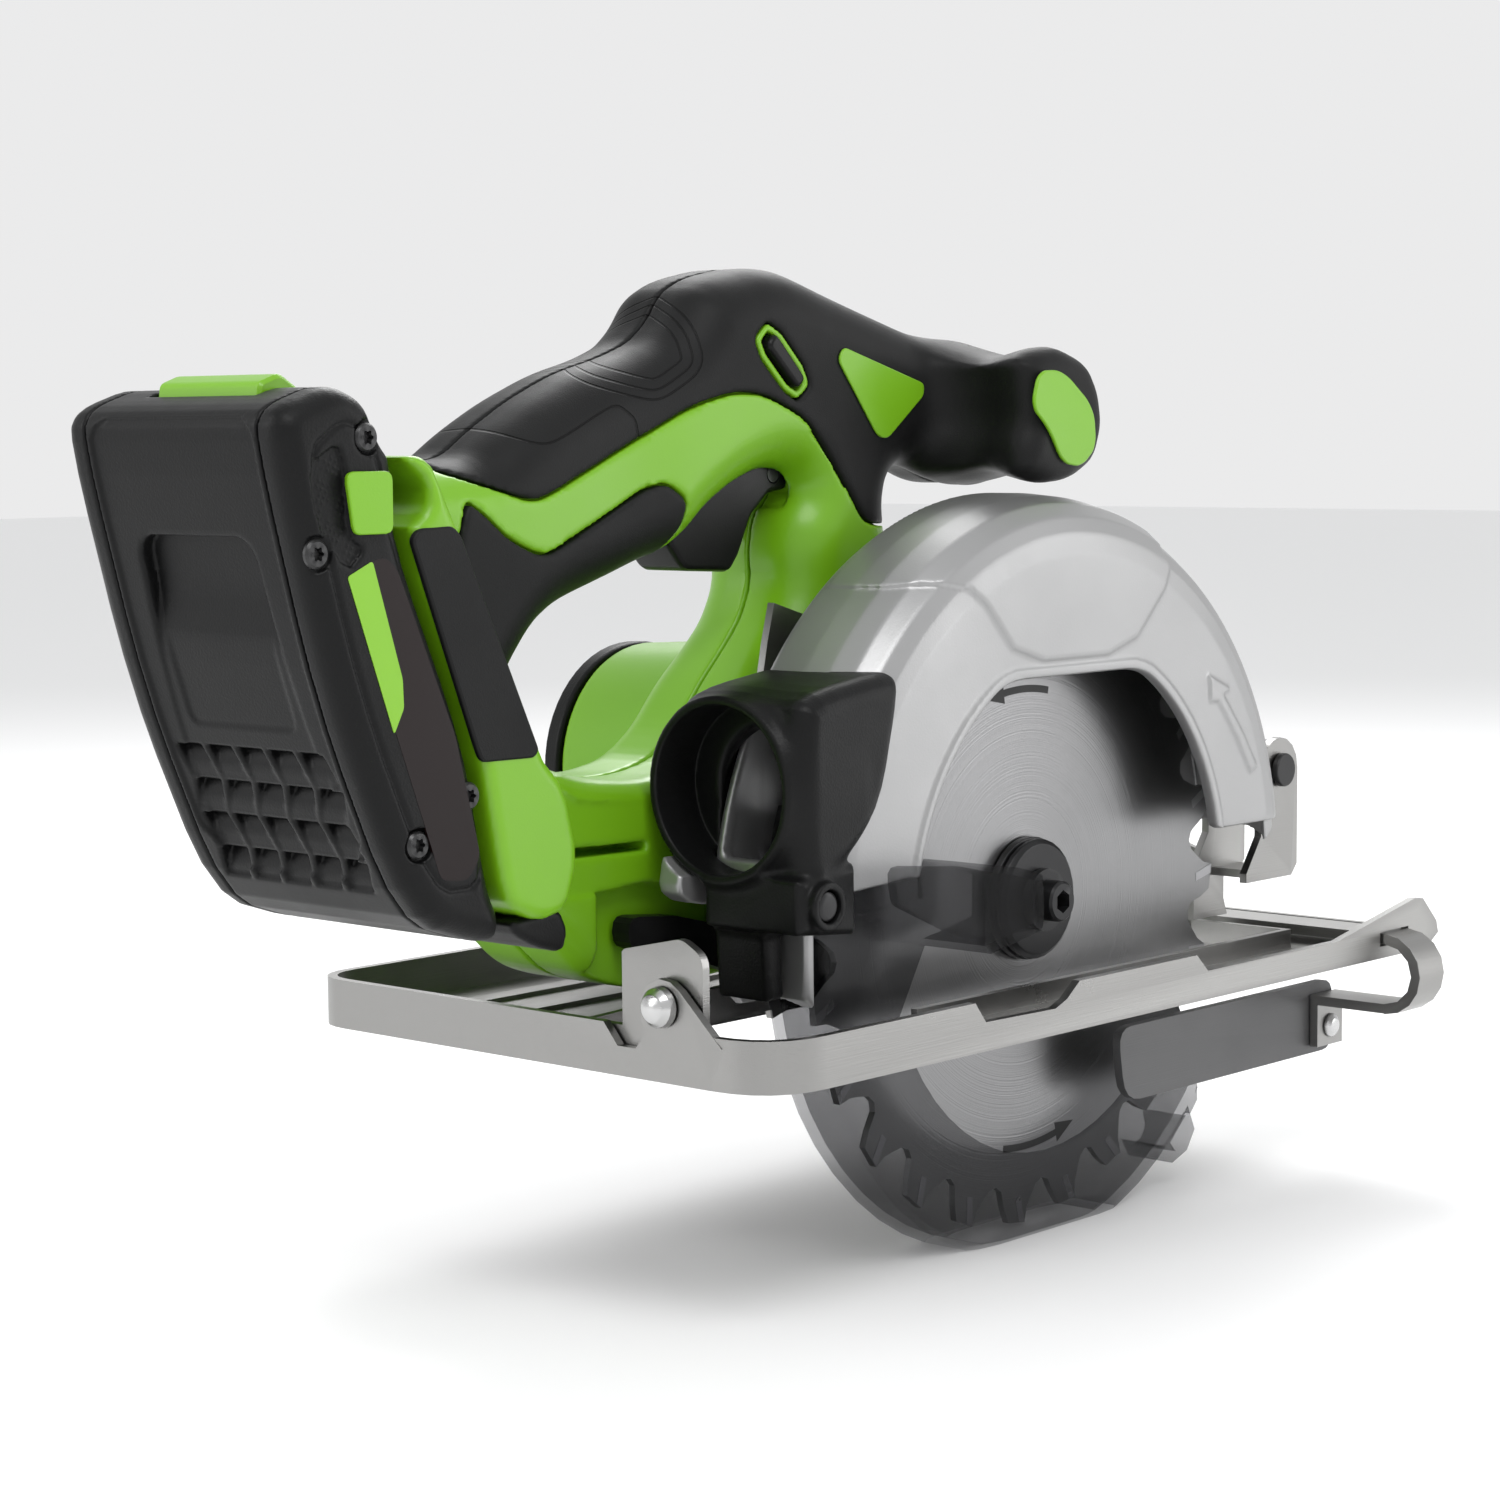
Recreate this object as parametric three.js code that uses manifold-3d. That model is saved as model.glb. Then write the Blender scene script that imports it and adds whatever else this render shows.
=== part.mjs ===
// Cordless circular saw, blade on the right-hand side.
// Millimetres, +X is the cutting direction, +Y is the motor side, +Z is up.
// Origin: on the sole under the arbor axis, at mid-width of the base plate.
// Every piece is drawn about the centre of the blade and placed by one group.
import * as THREE from 'three';
import { mergeVertices } from 'three/addons/utils/BufferGeometryUtils.js';
import Module from 'manifold-3d';

const wasm = await Module();
wasm.setup();

// ---------------------------------------------------------------- dimensions
const BLADE_R = 82.5;            // 165 mm blade
const BLADE_T = 1.8;             // kerf
const TEETH = 24;
const ARBOR_Z = 25.5;            // arbor above the sole, 57 mm depth of cut
const BLADE_Y = -37.8;           // blade plane from the middle of the base
const SOLE = -ARBOR_Z;
const BASE = { x0: -136.2, x1: 130, y0: -37.2, y1: 112.8, t: 2.0, lip: 11.7, wall: 2.2 };
const BEVEL = { y: -5.2, z: -8.6 };          // bevel axis, along X
const DEPTH = { x: 108, z: 23.5 };           // depth pivot axis, along Y
const CLAMP = { x: -60.7, z: -10 };          // depth clamp bolt
const MOTOR = { x: -33, z: 31, r: 33 };      // motor axis, along Y
const IDLER = { x: -22.6, z: 17.8 };
const SPLIT = 45;                            // parting plane of the two shells
const GAP = 0.3;
const TRIG = { x: -50, z: 106 };             // trigger pivot
const SLIDE = [-0.3987, 0, 0.9171];          // battery rail direction

// ---------------------------------------------------------------- helpers
const V2 = (x, y) => new THREE.Vector2(x, y);
function volume(p, t) {
  let v = 0;
  for (let i = 0; i < t.length; i += 3) {
    const a = t[i] * 3, b = t[i + 1] * 3, c = t[i + 2] * 3;
    v += p[a] * (p[b + 1] * p[c + 2] - p[b + 2] * p[c + 1]) - p[a + 1] * (p[b] * p[c + 2] - p[b + 2] * p[c]) + p[a + 2] * (p[b] * p[c + 1] - p[b + 1] * p[c]);
  }
  return v / 6;
}
function solid(geo) {
  let g = geo.clone();
  for (const k of Object.keys(g.attributes)) if (k !== 'position') g.deleteAttribute(k);
  g = mergeVertices(g, 1e-4);
  const p = new Float32Array(g.attributes.position.array);
  let t = Array.from(g.index.array), u = [];
  for (let i = 0; i < t.length; i += 3) if (t[i] !== t[i + 1] && t[i + 1] !== t[i + 2] && t[i] !== t[i + 2]) u.push(t[i], t[i + 1], t[i + 2]);
  if (volume(p, u) < 0) for (let i = 0; i < u.length; i += 3) { const s = u[i]; u[i] = u[i + 1]; u[i + 1] = s; }
  return new wasm.Manifold(new wasm.Mesh({ numProp: 3, vertProperties: p, triVerts: new Uint32Array(u) }));
}
function toGeo(m) {
  const q = m.getMesh(), g = new THREE.BufferGeometry();
  g.setAttribute('position', new THREE.BufferAttribute(new Float32Array(q.vertProperties), 3));
  g.setIndex(new THREE.BufferAttribute(new Uint32Array(q.triVerts), 1));
  g.computeVertexNormals();
  return g;
}
const mat = (...a) => new THREE.Matrix4().set(...a, 0, 0, 0, 1);
// outline in X,Z pushed along Y from y0 to y1
function xz(pts, y0, y1, holes = [], o = {}) {
  const s = new THREE.Shape(pts.map(p => V2(p[0], p[1])));
  for (const h of holes) s.holes.push(new THREE.Path(h.map(p => V2(p[0], p[1]))));
  const b = o.bevel || 0;
  const g = new THREE.ExtrudeGeometry(s, { depth: y1 - y0 - 2 * b, steps: 1, bevelEnabled: b > 0, bevelThickness: b, bevelSize: b, bevelOffset: -b, bevelSegments: o.seg || 1, curveSegments: 12 });
  g.applyMatrix4(mat(1, 0, 0, 0, 0, 0, -1, y1 - b, 0, 1, 0, 0));
  return solid(g);
}
// outline in X,Y raised from z0 to z1
function xy(pts, z0, z1, holes = []) {
  const s = new THREE.Shape(pts.map(p => V2(p[0], p[1])));
  for (const h of holes) s.holes.push(new THREE.Path(h.map(p => V2(p[0], p[1]))));
  const g = new THREE.ExtrudeGeometry(s, { depth: z1 - z0, steps: 1, bevelEnabled: false });
  g.translate(0, 0, z0);
  return solid(g);
}
// outline in Y,Z pushed along X from x0 to x1
function yz(pts, x0, x1, holes = []) {
  const s = new THREE.Shape(pts.map(p => V2(p[0], p[1])));
  for (const h of holes) s.holes.push(new THREE.Path(h.map(p => V2(p[0], p[1]))));
  const g = new THREE.ExtrudeGeometry(s, { depth: x1 - x0, steps: 1, bevelEnabled: false });
  g.applyMatrix4(mat(0, 0, 1, x0, 1, 0, 0, 0, 0, 1, 0, 0));
  return solid(g);
}
function box(x0, x1, y0, y1, z0, z1) {
  const g = new THREE.BoxGeometry(x1 - x0, y1 - y0, z1 - z0);
  g.translate((x0 + x1) / 2, (y0 + y1) / 2, (z0 + z1) / 2);
  return solid(g);
}
// cylinder along Y
function cylY(x, z, r, y0, y1, n = 32, r1 = r) {
  const g = new THREE.CylinderGeometry(r1, r, y1 - y0, n);
  g.translate(x, (y0 + y1) / 2, z);
  return solid(g);
}
function cylX(y, z, r, x0, x1, n = 32, r1 = r) {
  const g = new THREE.CylinderGeometry(r1, r, x1 - x0, n);
  g.rotateZ(-Math.PI / 2);
  g.translate((x0 + x1) / 2, y, z);
  return solid(g);
}
function cylZ(x, y, r, z0, z1, n = 32, r1 = r) {
  const g = new THREE.CylinderGeometry(r1, r, z1 - z0, n);
  g.rotateX(Math.PI / 2);
  g.translate(x, y, (z0 + z1) / 2);
  return solid(g);
}
// closed or axis-to-axis profile of [radius, y] turned about the Y direction through x,z
function lathe(prof, n = 64, x = 0, z = 0) {
  const g = new THREE.LatheGeometry(prof.map(p => V2(p[0], p[1])), n);
  g.translate(x, 0, z);
  return solid(g);
}
const ringP = (r0, r1, y0, y1) => [[r0, y0], [r1, y0], [r1, y1], [r0, y1], [r0, y0]];
const pol = (r, deg, x = 0, z = 0) => [x + r * Math.cos(deg * Math.PI / 180), z + r * Math.sin(deg * Math.PI / 180)];
function arcPts(r, a0, a1, n, x = 0, z = 0) { const o = []; for (let i = 0; i <= n; i++) o.push(pol(r, a0 + (a1 - a0) * i / n, x, z)); return o; }
const circle = (x, z, r, n = 24) => arcPts(r, 0, 360 - 360 / n, n - 1, x, z);
// polygon with its corners rounded: [[x,y,r],...]
function rounded(pts, n = 5) {
  const o = [], L = pts.length;
  for (let i = 0; i < L; i++) {
    const p = pts[i], a = pts[(i + L - 1) % L], b = pts[(i + 1) % L], r = p[2] || 0;
    if (!r) { o.push([p[0], p[1]]); continue; }
    const ua = [a[0] - p[0], a[1] - p[1]], ub = [b[0] - p[0], b[1] - p[1]], la = Math.hypot(...ua), lb = Math.hypot(...ub);
    const c = (ua[0] * ub[0] + ua[1] * ub[1]) / la / lb, half = Math.acos(Math.max(-1, Math.min(1, c))) / 2, d = Math.min(r / Math.tan(half), la * 0.49, lb * 0.49);
    const A = [p[0] + ua[0] / la * d, p[1] + ua[1] / la * d], B = [p[0] + ub[0] / lb * d, p[1] + ub[1] / lb * d];
    for (let k = 0; k <= n; k++) { const t = k / n, s = 1 - t; o.push([s * s * A[0] + 2 * s * t * p[0] + t * t * B[0], s * s * A[1] + 2 * s * t * p[1] + t * t * B[1]]); }
  }
  return o;
}
// moves an outline inwards by d (outwards when d < 0)
function inset(pts, d) {
  let A = 0; const L = pts.length;
  for (let i = 0; i < L; i++) { const p = pts[i], q = pts[(i + 1) % L]; A += p[0] * q[1] - q[0] * p[1]; }
  const s = A > 0 ? 1 : -1;
  return pts.map((p, i) => {
    const a = pts[(i + L - 1) % L], b = pts[(i + 1) % L];
    const n1 = [-(p[1] - a[1]) * s, (p[0] - a[0]) * s], n2 = [-(b[1] - p[1]) * s, (b[0] - p[0]) * s];
    const l1 = Math.hypot(...n1) || 1, l2 = Math.hypot(...n2) || 1;
    const m = [n1[0] / l1 + n2[0] / l2, n1[1] / l1 + n2[1] / l2], k = Math.max(0.5, (m[0] * m[0] + m[1] * m[1]) / 2);
    return [p[0] + m[0] * d / k, p[1] + m[1] * d / k];
  });
}
const all = (first, ...rest) => rest.reduce((a, b) => a.add(b), first);
const cut = (first, ...rest) => rest.reduce((a, b) => a.subtract(b), first);
function turnY(m, deg, x, z) {
  const a = deg * Math.PI / 180, c = Math.cos(a), s = Math.sin(a), q = m.getMesh(), v = new Float32Array(q.vertProperties);
  for (let i = 0; i < v.length; i += 3) { const dx = v[i] - x, dz = v[i + 2] - z; v[i] = x + dx * c + dz * s; v[i + 2] = z - dx * s + dz * c; }
  return new wasm.Manifold(new wasm.Mesh({ numProp: 3, vertProperties: v, triVerts: q.triVerts }));
}
function shift(m, d) {
  const q = m.getMesh(), v = new Float32Array(q.vertProperties);
  for (let i = 0; i < v.length; i += 3) { v[i] += d[0]; v[i + 1] += d[1]; v[i + 2] += d[2]; }
  return new wasm.Manifold(new wasm.Mesh({ numProp: 3, vertProperties: v, triVerts: q.triVerts }));
}

const saw = new THREE.Group();
saw.position.set(0, BLADE_Y, ARBOR_Z);
const finish = {
  green: [0x7db82b, 0.42, 0], grip: [0x2b2b2c, 0.72, 0], black: [0x202022, 0.5, 0], cast: [0xc9c9c7, 0.38, 0.55],
  steel: [0xb0aeac, 0.32, 0.9], dark: [0x3a3a3b, 0.55, 0], blade: [0x9a9a9a, 0.3, 0.95], oxide: [0x18181a, 0.35, 0.8],
  clear: [0x6a6a6a, 0.12, 0], brass: [0xb08d4f, 0.35, 0.9], copper: [0xb5683a, 0.4, 0.9], board: [0x1f5a34, 0.6, 0], cell: [0x3f6fae, 0.4, 0], fence: [0x6f6f6f, 0.5, 0.4],
};
function add(name, m, f) {
  const [color, roughness, metalness] = finish[f];
  const mesh = new THREE.Mesh(toGeo(m), new THREE.MeshStandardMaterial({ color, roughness, metalness, transparent: f === 'clear', opacity: f === 'clear' ? 0.5 : 1 }));
  mesh.name = name;
  saw.add(mesh);
}

// ================================================================ base plate
{
  const o = rounded([[BASE.x0, BASE.y0, 18], [BASE.x1, BASE.y0, 3], [BASE.x1, BASE.y1, 12], [BASE.x0, BASE.y1, 13]], 6);
  const i = rounded([[BASE.x0 + BASE.wall, BASE.y0 + BASE.wall, 16], [BASE.x1 - BASE.wall, BASE.y0 + BASE.wall, 2], [BASE.x1 - BASE.wall, BASE.y1 - BASE.wall, 10], [BASE.x0 + BASE.wall, BASE.y1 - BASE.wall, 11]], 6);
  let b = xy(o, SOLE, SOLE + BASE.lip).subtract(xy(i, SOLE + BASE.t, SOLE + 30));
  // notches along the right lip
  b = b.subtract(xz([[-67.6, -12], [-62.3, -18.7], [-35.7, -19.2], [-31.2, -17.5], [-23.7, -12]], -40, -34));
  b = b.subtract(xz([[20.9, -12], [27.7, -18.3], [140, -18.3], [140, -12]], -40, -34));
  // front lip is low
  b = b.subtract(box(120, 140, -34.9, 120, -19.5, -5));
  // notch in the rear lip beside the bevel ear
  b = b.subtract(yz([[14.5, -12], [8.7, -18.8], [3.2, -18.8], [-1, -14], [-1, -12]], -140, -133));
  // bevel ear on the rear lip
  b = b.add(yz([[-22.5, -16], [-10.2, -4.6], [-7.5, -2.9], [-4.0, -2.5], [-0.6, -4.2], [1.6, -8], [1.2, -12.5], [-1.2, -16]], BASE.x0, BASE.x0 + BASE.wall));
  b = b.subtract(cylX(BEVEL.y, BEVEL.z, 3.1, -140, -130, 20));
  // flared front tab with the slot for the fence bar
  b = b.add(xz([[88, SOLE], [88, -18.3], [126.5, -11.2], [131, -11.6], [138.2, -18.5], [139.2, -21.8], [134, -24.8], [126, SOLE]], BASE.y0, BASE.y0 + BASE.wall));
  b = b.subtract(box(109.0, 123.4, -40, -34, -22.3, -18.3));
  // blade and guard opening with a low turned-up wall at its front and right
  b = b.add(box(-60, 100, -15, -13.2, SOLE, -18.5)).add(box(98.2, 100, -15, 16, SOLE, -18.5));
  b = b.subtract(box(-98, 98.2, -13.2, 34, SOLE - 1, SOLE + 20));
  // pressed stiffening ribs
  for (const y of [56, 74, 92]) b = b.add(xy(rounded([[-118, y - 3, 3], [96, y - 3, 3], [96, y + 3, 3], [-118, y + 3, 3]], 4), SOLE + 1, SOLE + 3.2));
  // strap that guides the fence bar
  b = b.add(box(106.6, 126.2, 58, 72, SOLE + 1, -15.9)).subtract(box(109.0, 123.4, 57, 73, -22.3, -18.3)).subtract(cylZ(116, 65, 2.6, -19, -10, 16));
  // front bevel quadrant with its arc slot
  const q = [...arcPts(51.5, -4, 61, 12, BEVEL.y, BEVEL.z), ...arcPts(39.5, 61, 4, 10, BEVEL.y, BEVEL.z), [32, -17], [32, -24.5], [48, -24.5]];
  const s = [...arcPts(48.2, 0.8, 58.8, 12, BEVEL.y, BEVEL.z), ...arcPts(41.9, 58.8, 0.8, 12, BEVEL.y, BEVEL.z)];
  b = b.add(yz(q, 98.2, 100.4)).subtract(yz(s, 97, 102));
  add('base_plate', b, 'steel');
}
{
  const g = new THREE.LatheGeometry([[0, 0], [2.8, 0], [2.8, 6.2], [4.7, 6.2], [4.4, 8.0], [3.2, 9.4], [1.5, 10], [0, 10.1]].map(p => V2(p[0], p[1])), 24);
  g.rotateZ(Math.PI / 2);
  g.translate(-130.4, BEVEL.y, BEVEL.z);
  add('bevel_rivet', solid(g), 'steel');
}

// ================================================================ bevel frame
{
  let m = yz(rounded([[-14.8, -14.8, 2], [-9.2, -21, 1], [22.3, -21, 0], [22.3, -14.6, 2], [9.6, -14.6, 0], [9.6, 2.4, 1.5], [-8.4, 6.4, 5], [-14.8, 3.0, 5]], 4), -133.5, -131.3);
  m = m.add(xz(rounded([[-133.5, -21, 0], [-66, -21, 3], [-66, -8, 0], [-75, -12.6, 4], [-133.5, -14.6, 0]], 3), 20.3, 22.3));
  // arm that carries the depth slot, an arc about the front pivot
  const r0 = 158, r1 = 185, a0 = 194.6, a1 = 163.5;
  m = m.add(xz([...arcPts(r1, a0, a1, 10, DEPTH.x, DEPTH.z), ...arcPts(r0, a1, a0, 10, DEPTH.x, DEPTH.z)], 20.3, 22.3));
  m = m.subtract(xz([...arcPts(175.2, 192.6, 166, 12, DEPTH.x, DEPTH.z), ...arcPts(168.8, 166, 192.6, 12, DEPTH.x, DEPTH.z)], 19, 24));
  m = m.subtract(cylX(BEVEL.y, BEVEL.z, 3.1, -136, -129, 20));
  // stiffening flange folded forward along the top of the rear plate
  m = m.add(xy([[-133.5, 7.6], [-133.5, 9.6], [-122, 9.6], [-122, 7.6]], -14.6, 2.0));
  add('rear_bevel_bracket', m, 'steel');
}
{
  // two cheeks around the guard lug, a bridge between them and a leg down to the bevel plate
  const cheek = [[92, -6], [92, -3.5], [99, 6], [99.2, 20], ...arcPts(8.8, 180, 0, 8, DEPTH.x, DEPTH.z), [116.8, -3], [114, -6]];
  let m = xz(cheek, -6, -3.8).add(xz(cheek, 11, 13.2)).add(box(100.6, 114, -6, 13.2, -6, -3.8));
  m = m.add(xz([[92, -3.8], [106.5, -3.8], [106.5, -13], [108.2, -17.6], [92, -17.6]], 11, 13.2));
  m = m.add(yz([[11, -17.6], [13.2, -17.6], [45, -8], [45, 6], [33, 6], [13.2, 0], [11, -3.8]], 100.8, 102.8));
  m = m.subtract(cylX(BEVEL.y + 44.9, BEVEL.z + 3.9, 2.7, 99, 104, 16));
  m = m.subtract(cylY(DEPTH.x, DEPTH.z, 3.2, -8, 15, 20));
  add('front_bevel_bracket', m, 'steel');
}
add('depth_pivot_pin', lathe([[0, -8.2], [4.4, -8.2], [4.6, -7.6], [4.6, -6.4], [2.9, -6.4], [2.9, 13.6], [4.4, 13.6], [4.4, 16], [0, 16]], 24, DEPTH.x, DEPTH.z), 'oxide');
{
  const y = BEVEL.y + 44.9, z = BEVEL.z + 3.9, k = [];
  for (let i = 0; i < 30; i++) k.push(pol(i % 5 < 3 ? 10.5 : 9.2, i * 12, y, z));
  const m = yz(k, 104, 114).add(cylX(y, z, 6, 103.1, 104.2, 24)).add(cylX(y, z, 2.4, 96, 104.2, 16)).add(cylX(y, z, 5, 94.4, 97.9, 6));
  add('bevel_knob', m, 'grip');
}

// ================================================================ upper guard
const guardWall = rounded([[-113, 9.5, 3], [-110, 23.5, 6], [-93, 57, 5], [-74, 66, 3], [-50, 74, 8], [-8, 68, 10], [6, 50, 8], [6, 20, 6], [24, 6, 8], [24, -19, 8], [-16, -19.4, 4], [-69, -19.4, 5], [-72, -10, 4], [-84, 6.5, 6]], 4).map(p => [p[0] + 0.13, p[1] + 0.17]);
const guardOuter = [[0, -17], [86, -17], [91, -16.2], [94.2, -14.4], [97.2, -10], [99, -4], [99.6, 3], [99.6, 13], [98.6, 14.6], [0, 14.6]];
{
  const guardInner = [[0, -14.4], [85, -14.4], [90, -13.2], [93.4, -10.2], [95.4, -5], [96.4, 3], [96.4, 12], [0, 12]];
  let g = lathe(guardOuter, 48).subtract(lathe(guardInner, 48));
  // the mouth of the guard is open below
  g = g.subtract(xz([[-120, 10], [-96, 10], [-96, -12], [-91, -16], [-75, -16], [-40, -16], [-14, -19], [16, -19], [30, -12], [60, -6], [92, 6], [99.5, 12.2], [120, 12.2], [120, -120], [-120, -120]], -30, 30));
  g = g.subtract(xz([[-86, 10], [-60, 13], [60, 13], [66, 12.4], [88, 12.4], [120, 12.4], [120, -40], [-90, -40], [-90, 10]], -30, -12));
  g = g.subtract(xz([[-93, 5], [93, 5], [93, -40], [-93, -40]], -13.5, 11.9));
  // side window
  const w = [...arcPts(62.5, 12, 63.5, 10), ...arcPts(62.5, 116.5, 168, 10)];
  g = g.subtract(xz([...w, [-61, 0], [61, 0]], -20, -12));
  // raised face panel, ridge and rotation arrow
  g = g.add(xz(rounded([[-40.6, 78.6, 1], [-22.4, 61.0, 2], [20.7, 60.8, 2], [39.7, 78.7, 1], [33.5, 79.5, 1], [16, 84.5, 0], [-8, 85.5, 0], [-28, 81.5, 0]], 3), -18, -16.5, [], { bevel: 0.5 }));
  g = g.add(xz([[58, 52.6], [66.4, 48.6], [63.4, 47.2], [72.5, 36.6], [78.6, 27.8], [76.2, 26.6], [70.2, 35.2], [61.2, 45.8], [58.0, 46.2]], -17.6, -16.5));
  // wall towards the gear case, with the flange that the motor shell is screwed to
  g = g.add(xz(guardWall, 12.2, 18.9).subtract(cylX(3.2, 36, 22, -125, -83, 32)));
  // hub that the lower guard turns on
  g = g.add(cylY(0, 0, 15, 7, 12.4, 40));
  g = g.subtract(cylY(0, 0, 9.2, 6, 13, 32)).subtract(cylY(0, 0, 13.3, 12.7, 20, 32));
  // lug for the depth pivot
  g = g.add(xz([[90.5, 13], [93.5, 36.5], [103, 31.2], ...arcPts(7.8, 70, -90, 8, DEPTH.x, DEPTH.z), [100, 15.6]], -3.4, 10.6).subtract(lathe(guardInner, 48)));
  g = g.subtract(cylY(DEPTH.x, DEPTH.z, 3.2, -8, 15, 20));
  // dust outlet through the rim
  g = g.subtract(box(-110, -70, -12, 11.9, 19, 53));
  // clamp bolt hole and a weight-saving pocket between the wall ribs
  g = g.subtract(cylY(CLAMP.x, CLAMP.z, 3.3, 10, 20, 20));
  g = g.subtract(cylY(MOTOR.x, MOTOR.z, 7.5, 15, 20, 24));
  add('upper_guard', g, 'cast');
}
add('outer_spindle_bearing', lathe(ringP(8.15, 13.1, 12.9, 18.7), 32), 'steel');

// ================================================================ gear case and train
{
  const out = (d) => rounded([...arcPts(20.6 + d, -150, 55, 12), ...arcPts(12.5 + d, 40, 120, 6, MOTOR.x, MOTOR.z + 4), ...arcPts(13.5 + d, 150, 220, 5, MOTOR.x - 2, MOTOR.z - 6)], 3);
  let g = xz(out(0), 19.2, 35.6).subtract(xz(out(-2), 18, 31.2));
  g = g.subtract(cylY(MOTOR.x, MOTOR.z, 8.3, 30, 38, 32)).subtract(cylY(0, 0, 8.9, 30.5, 34.2, 32));
  g = g.subtract(cylX(26, 5, 4.2, 15, 24, 20));
  add('gear_case', g, 'cast');
  const gear = (n, rp, x, z, y0, y1, bore, phase = 0) => {
    const p = [];
    for (let i = 0; i < n; i++) for (const [f, r] of [[0, rp - 1.25], [0.3, rp - 1.25], [0.45, rp - 0.12], [0.8, rp - 0.12]]) p.push(pol(r, (i + f) * 360 / n + phase, x, z));
    return xz(p, y0, y1).subtract(cylY(x, z, bore, y0 - 1, y1 + 1, 24));
  };
  add('output_gear', gear(43, 16.5, 0, 0, 20.6, 28.6, 8.2), 'steel');
  add('idler_gear', gear(32, 12.1, IDLER.x, IDLER.z, 20.8, 28.4, 3.3), 'steel');
  add('idler_axle', cylY(IDLER.x, IDLER.z, 3, 19.6, 30.9, 20), 'steel');
}
{
  const g = new THREE.LatheGeometry([[0, 19.2], [3.8, 19.2], [3.8, 23], [6.4, 23], [6.4, 26.6], [5.2, 27.8], [0, 28]].map(p => V2(p[0], p[1])), 28);
  g.rotateZ(-Math.PI / 2);
  g.translate(0, 26, 5);
  add('spindle_lock_button', solid(g), 'black');
}
add('inner_spindle_bearing', lathe(ringP(4.15, 8.6, 30.7, 34), 28), 'steel');
add('gear_side_motor_bearing', lathe(ringP(3.15, 8.0, 31.4, 35.4), 28, MOTOR.x, MOTOR.z), 'steel');

// ================================================================ blade and spindle
{
  const p = [];
  for (let i = 0; i < TEETH; i++) {
    const a = 195 + i * 360 / TEETH;   // leading tip of this tooth; the blade turns with rising angle
    for (const [r, d] of [[82.5, 0], [81.9, -4.6], [78.2, -6.1], [73.8, -7.4], [72.6, -9.2], [73.4, -11.2], [76.2, -13.0], [78.8, -14.3]].reverse()) p.push(pol(r, a + d));
  }
  let b = xz(p, -BLADE_T / 2, BLADE_T / 2).subtract(cylY(0, 0, 8.15, -3, 3, 32));
  add('saw_blade', b, 'blade');
}
add('inner_flange', lathe([[8.2, 1.2], [17, 1.2], [17, 3], [14.5, 4.2], [14.5, 6.4], [8.2, 6.4], [8.2, 1.2]], 28), 'oxide');
add('outer_flange', lathe([[5.3, -6], [13.8, -6], [15, -5], [15, -3.9], [14.2, -3.7], [14.2, -3.3], [15.4, -3.1], [15.4, -1.2], [8.3, -1.2], [8.3, -3.2], [5.3, -3.2], [5.3, -6]], 28), 'oxide');
{
  let s = lathe([[0, -2.9], [7.2, -2.9], [7.9, -2.3], [7.9, 29.6], [4, 29.6], [4, 34], [0, 34]], 32);
  s = s.subtract(cylY(0, 0, 3.4, -4, 16, 20));
  add('spindle', s, 'steel');
}
{
  const hex = []; for (let i = 0; i < 6; i++) hex.push(pol(2.9, i * 60 + 30));
  let b = lathe([[0, -13], [4.5, -13], [5.1, -12.4], [5.1, -8.2], [7.8, -8.2], [7.8, -6.3], [3.1, -6.3], [3.1, 14], [0, 14]], 32);
  b = b.subtract(xz(hex, -14, -9.4));
  add('blade_bolt', b, 'oxide');
}

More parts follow.
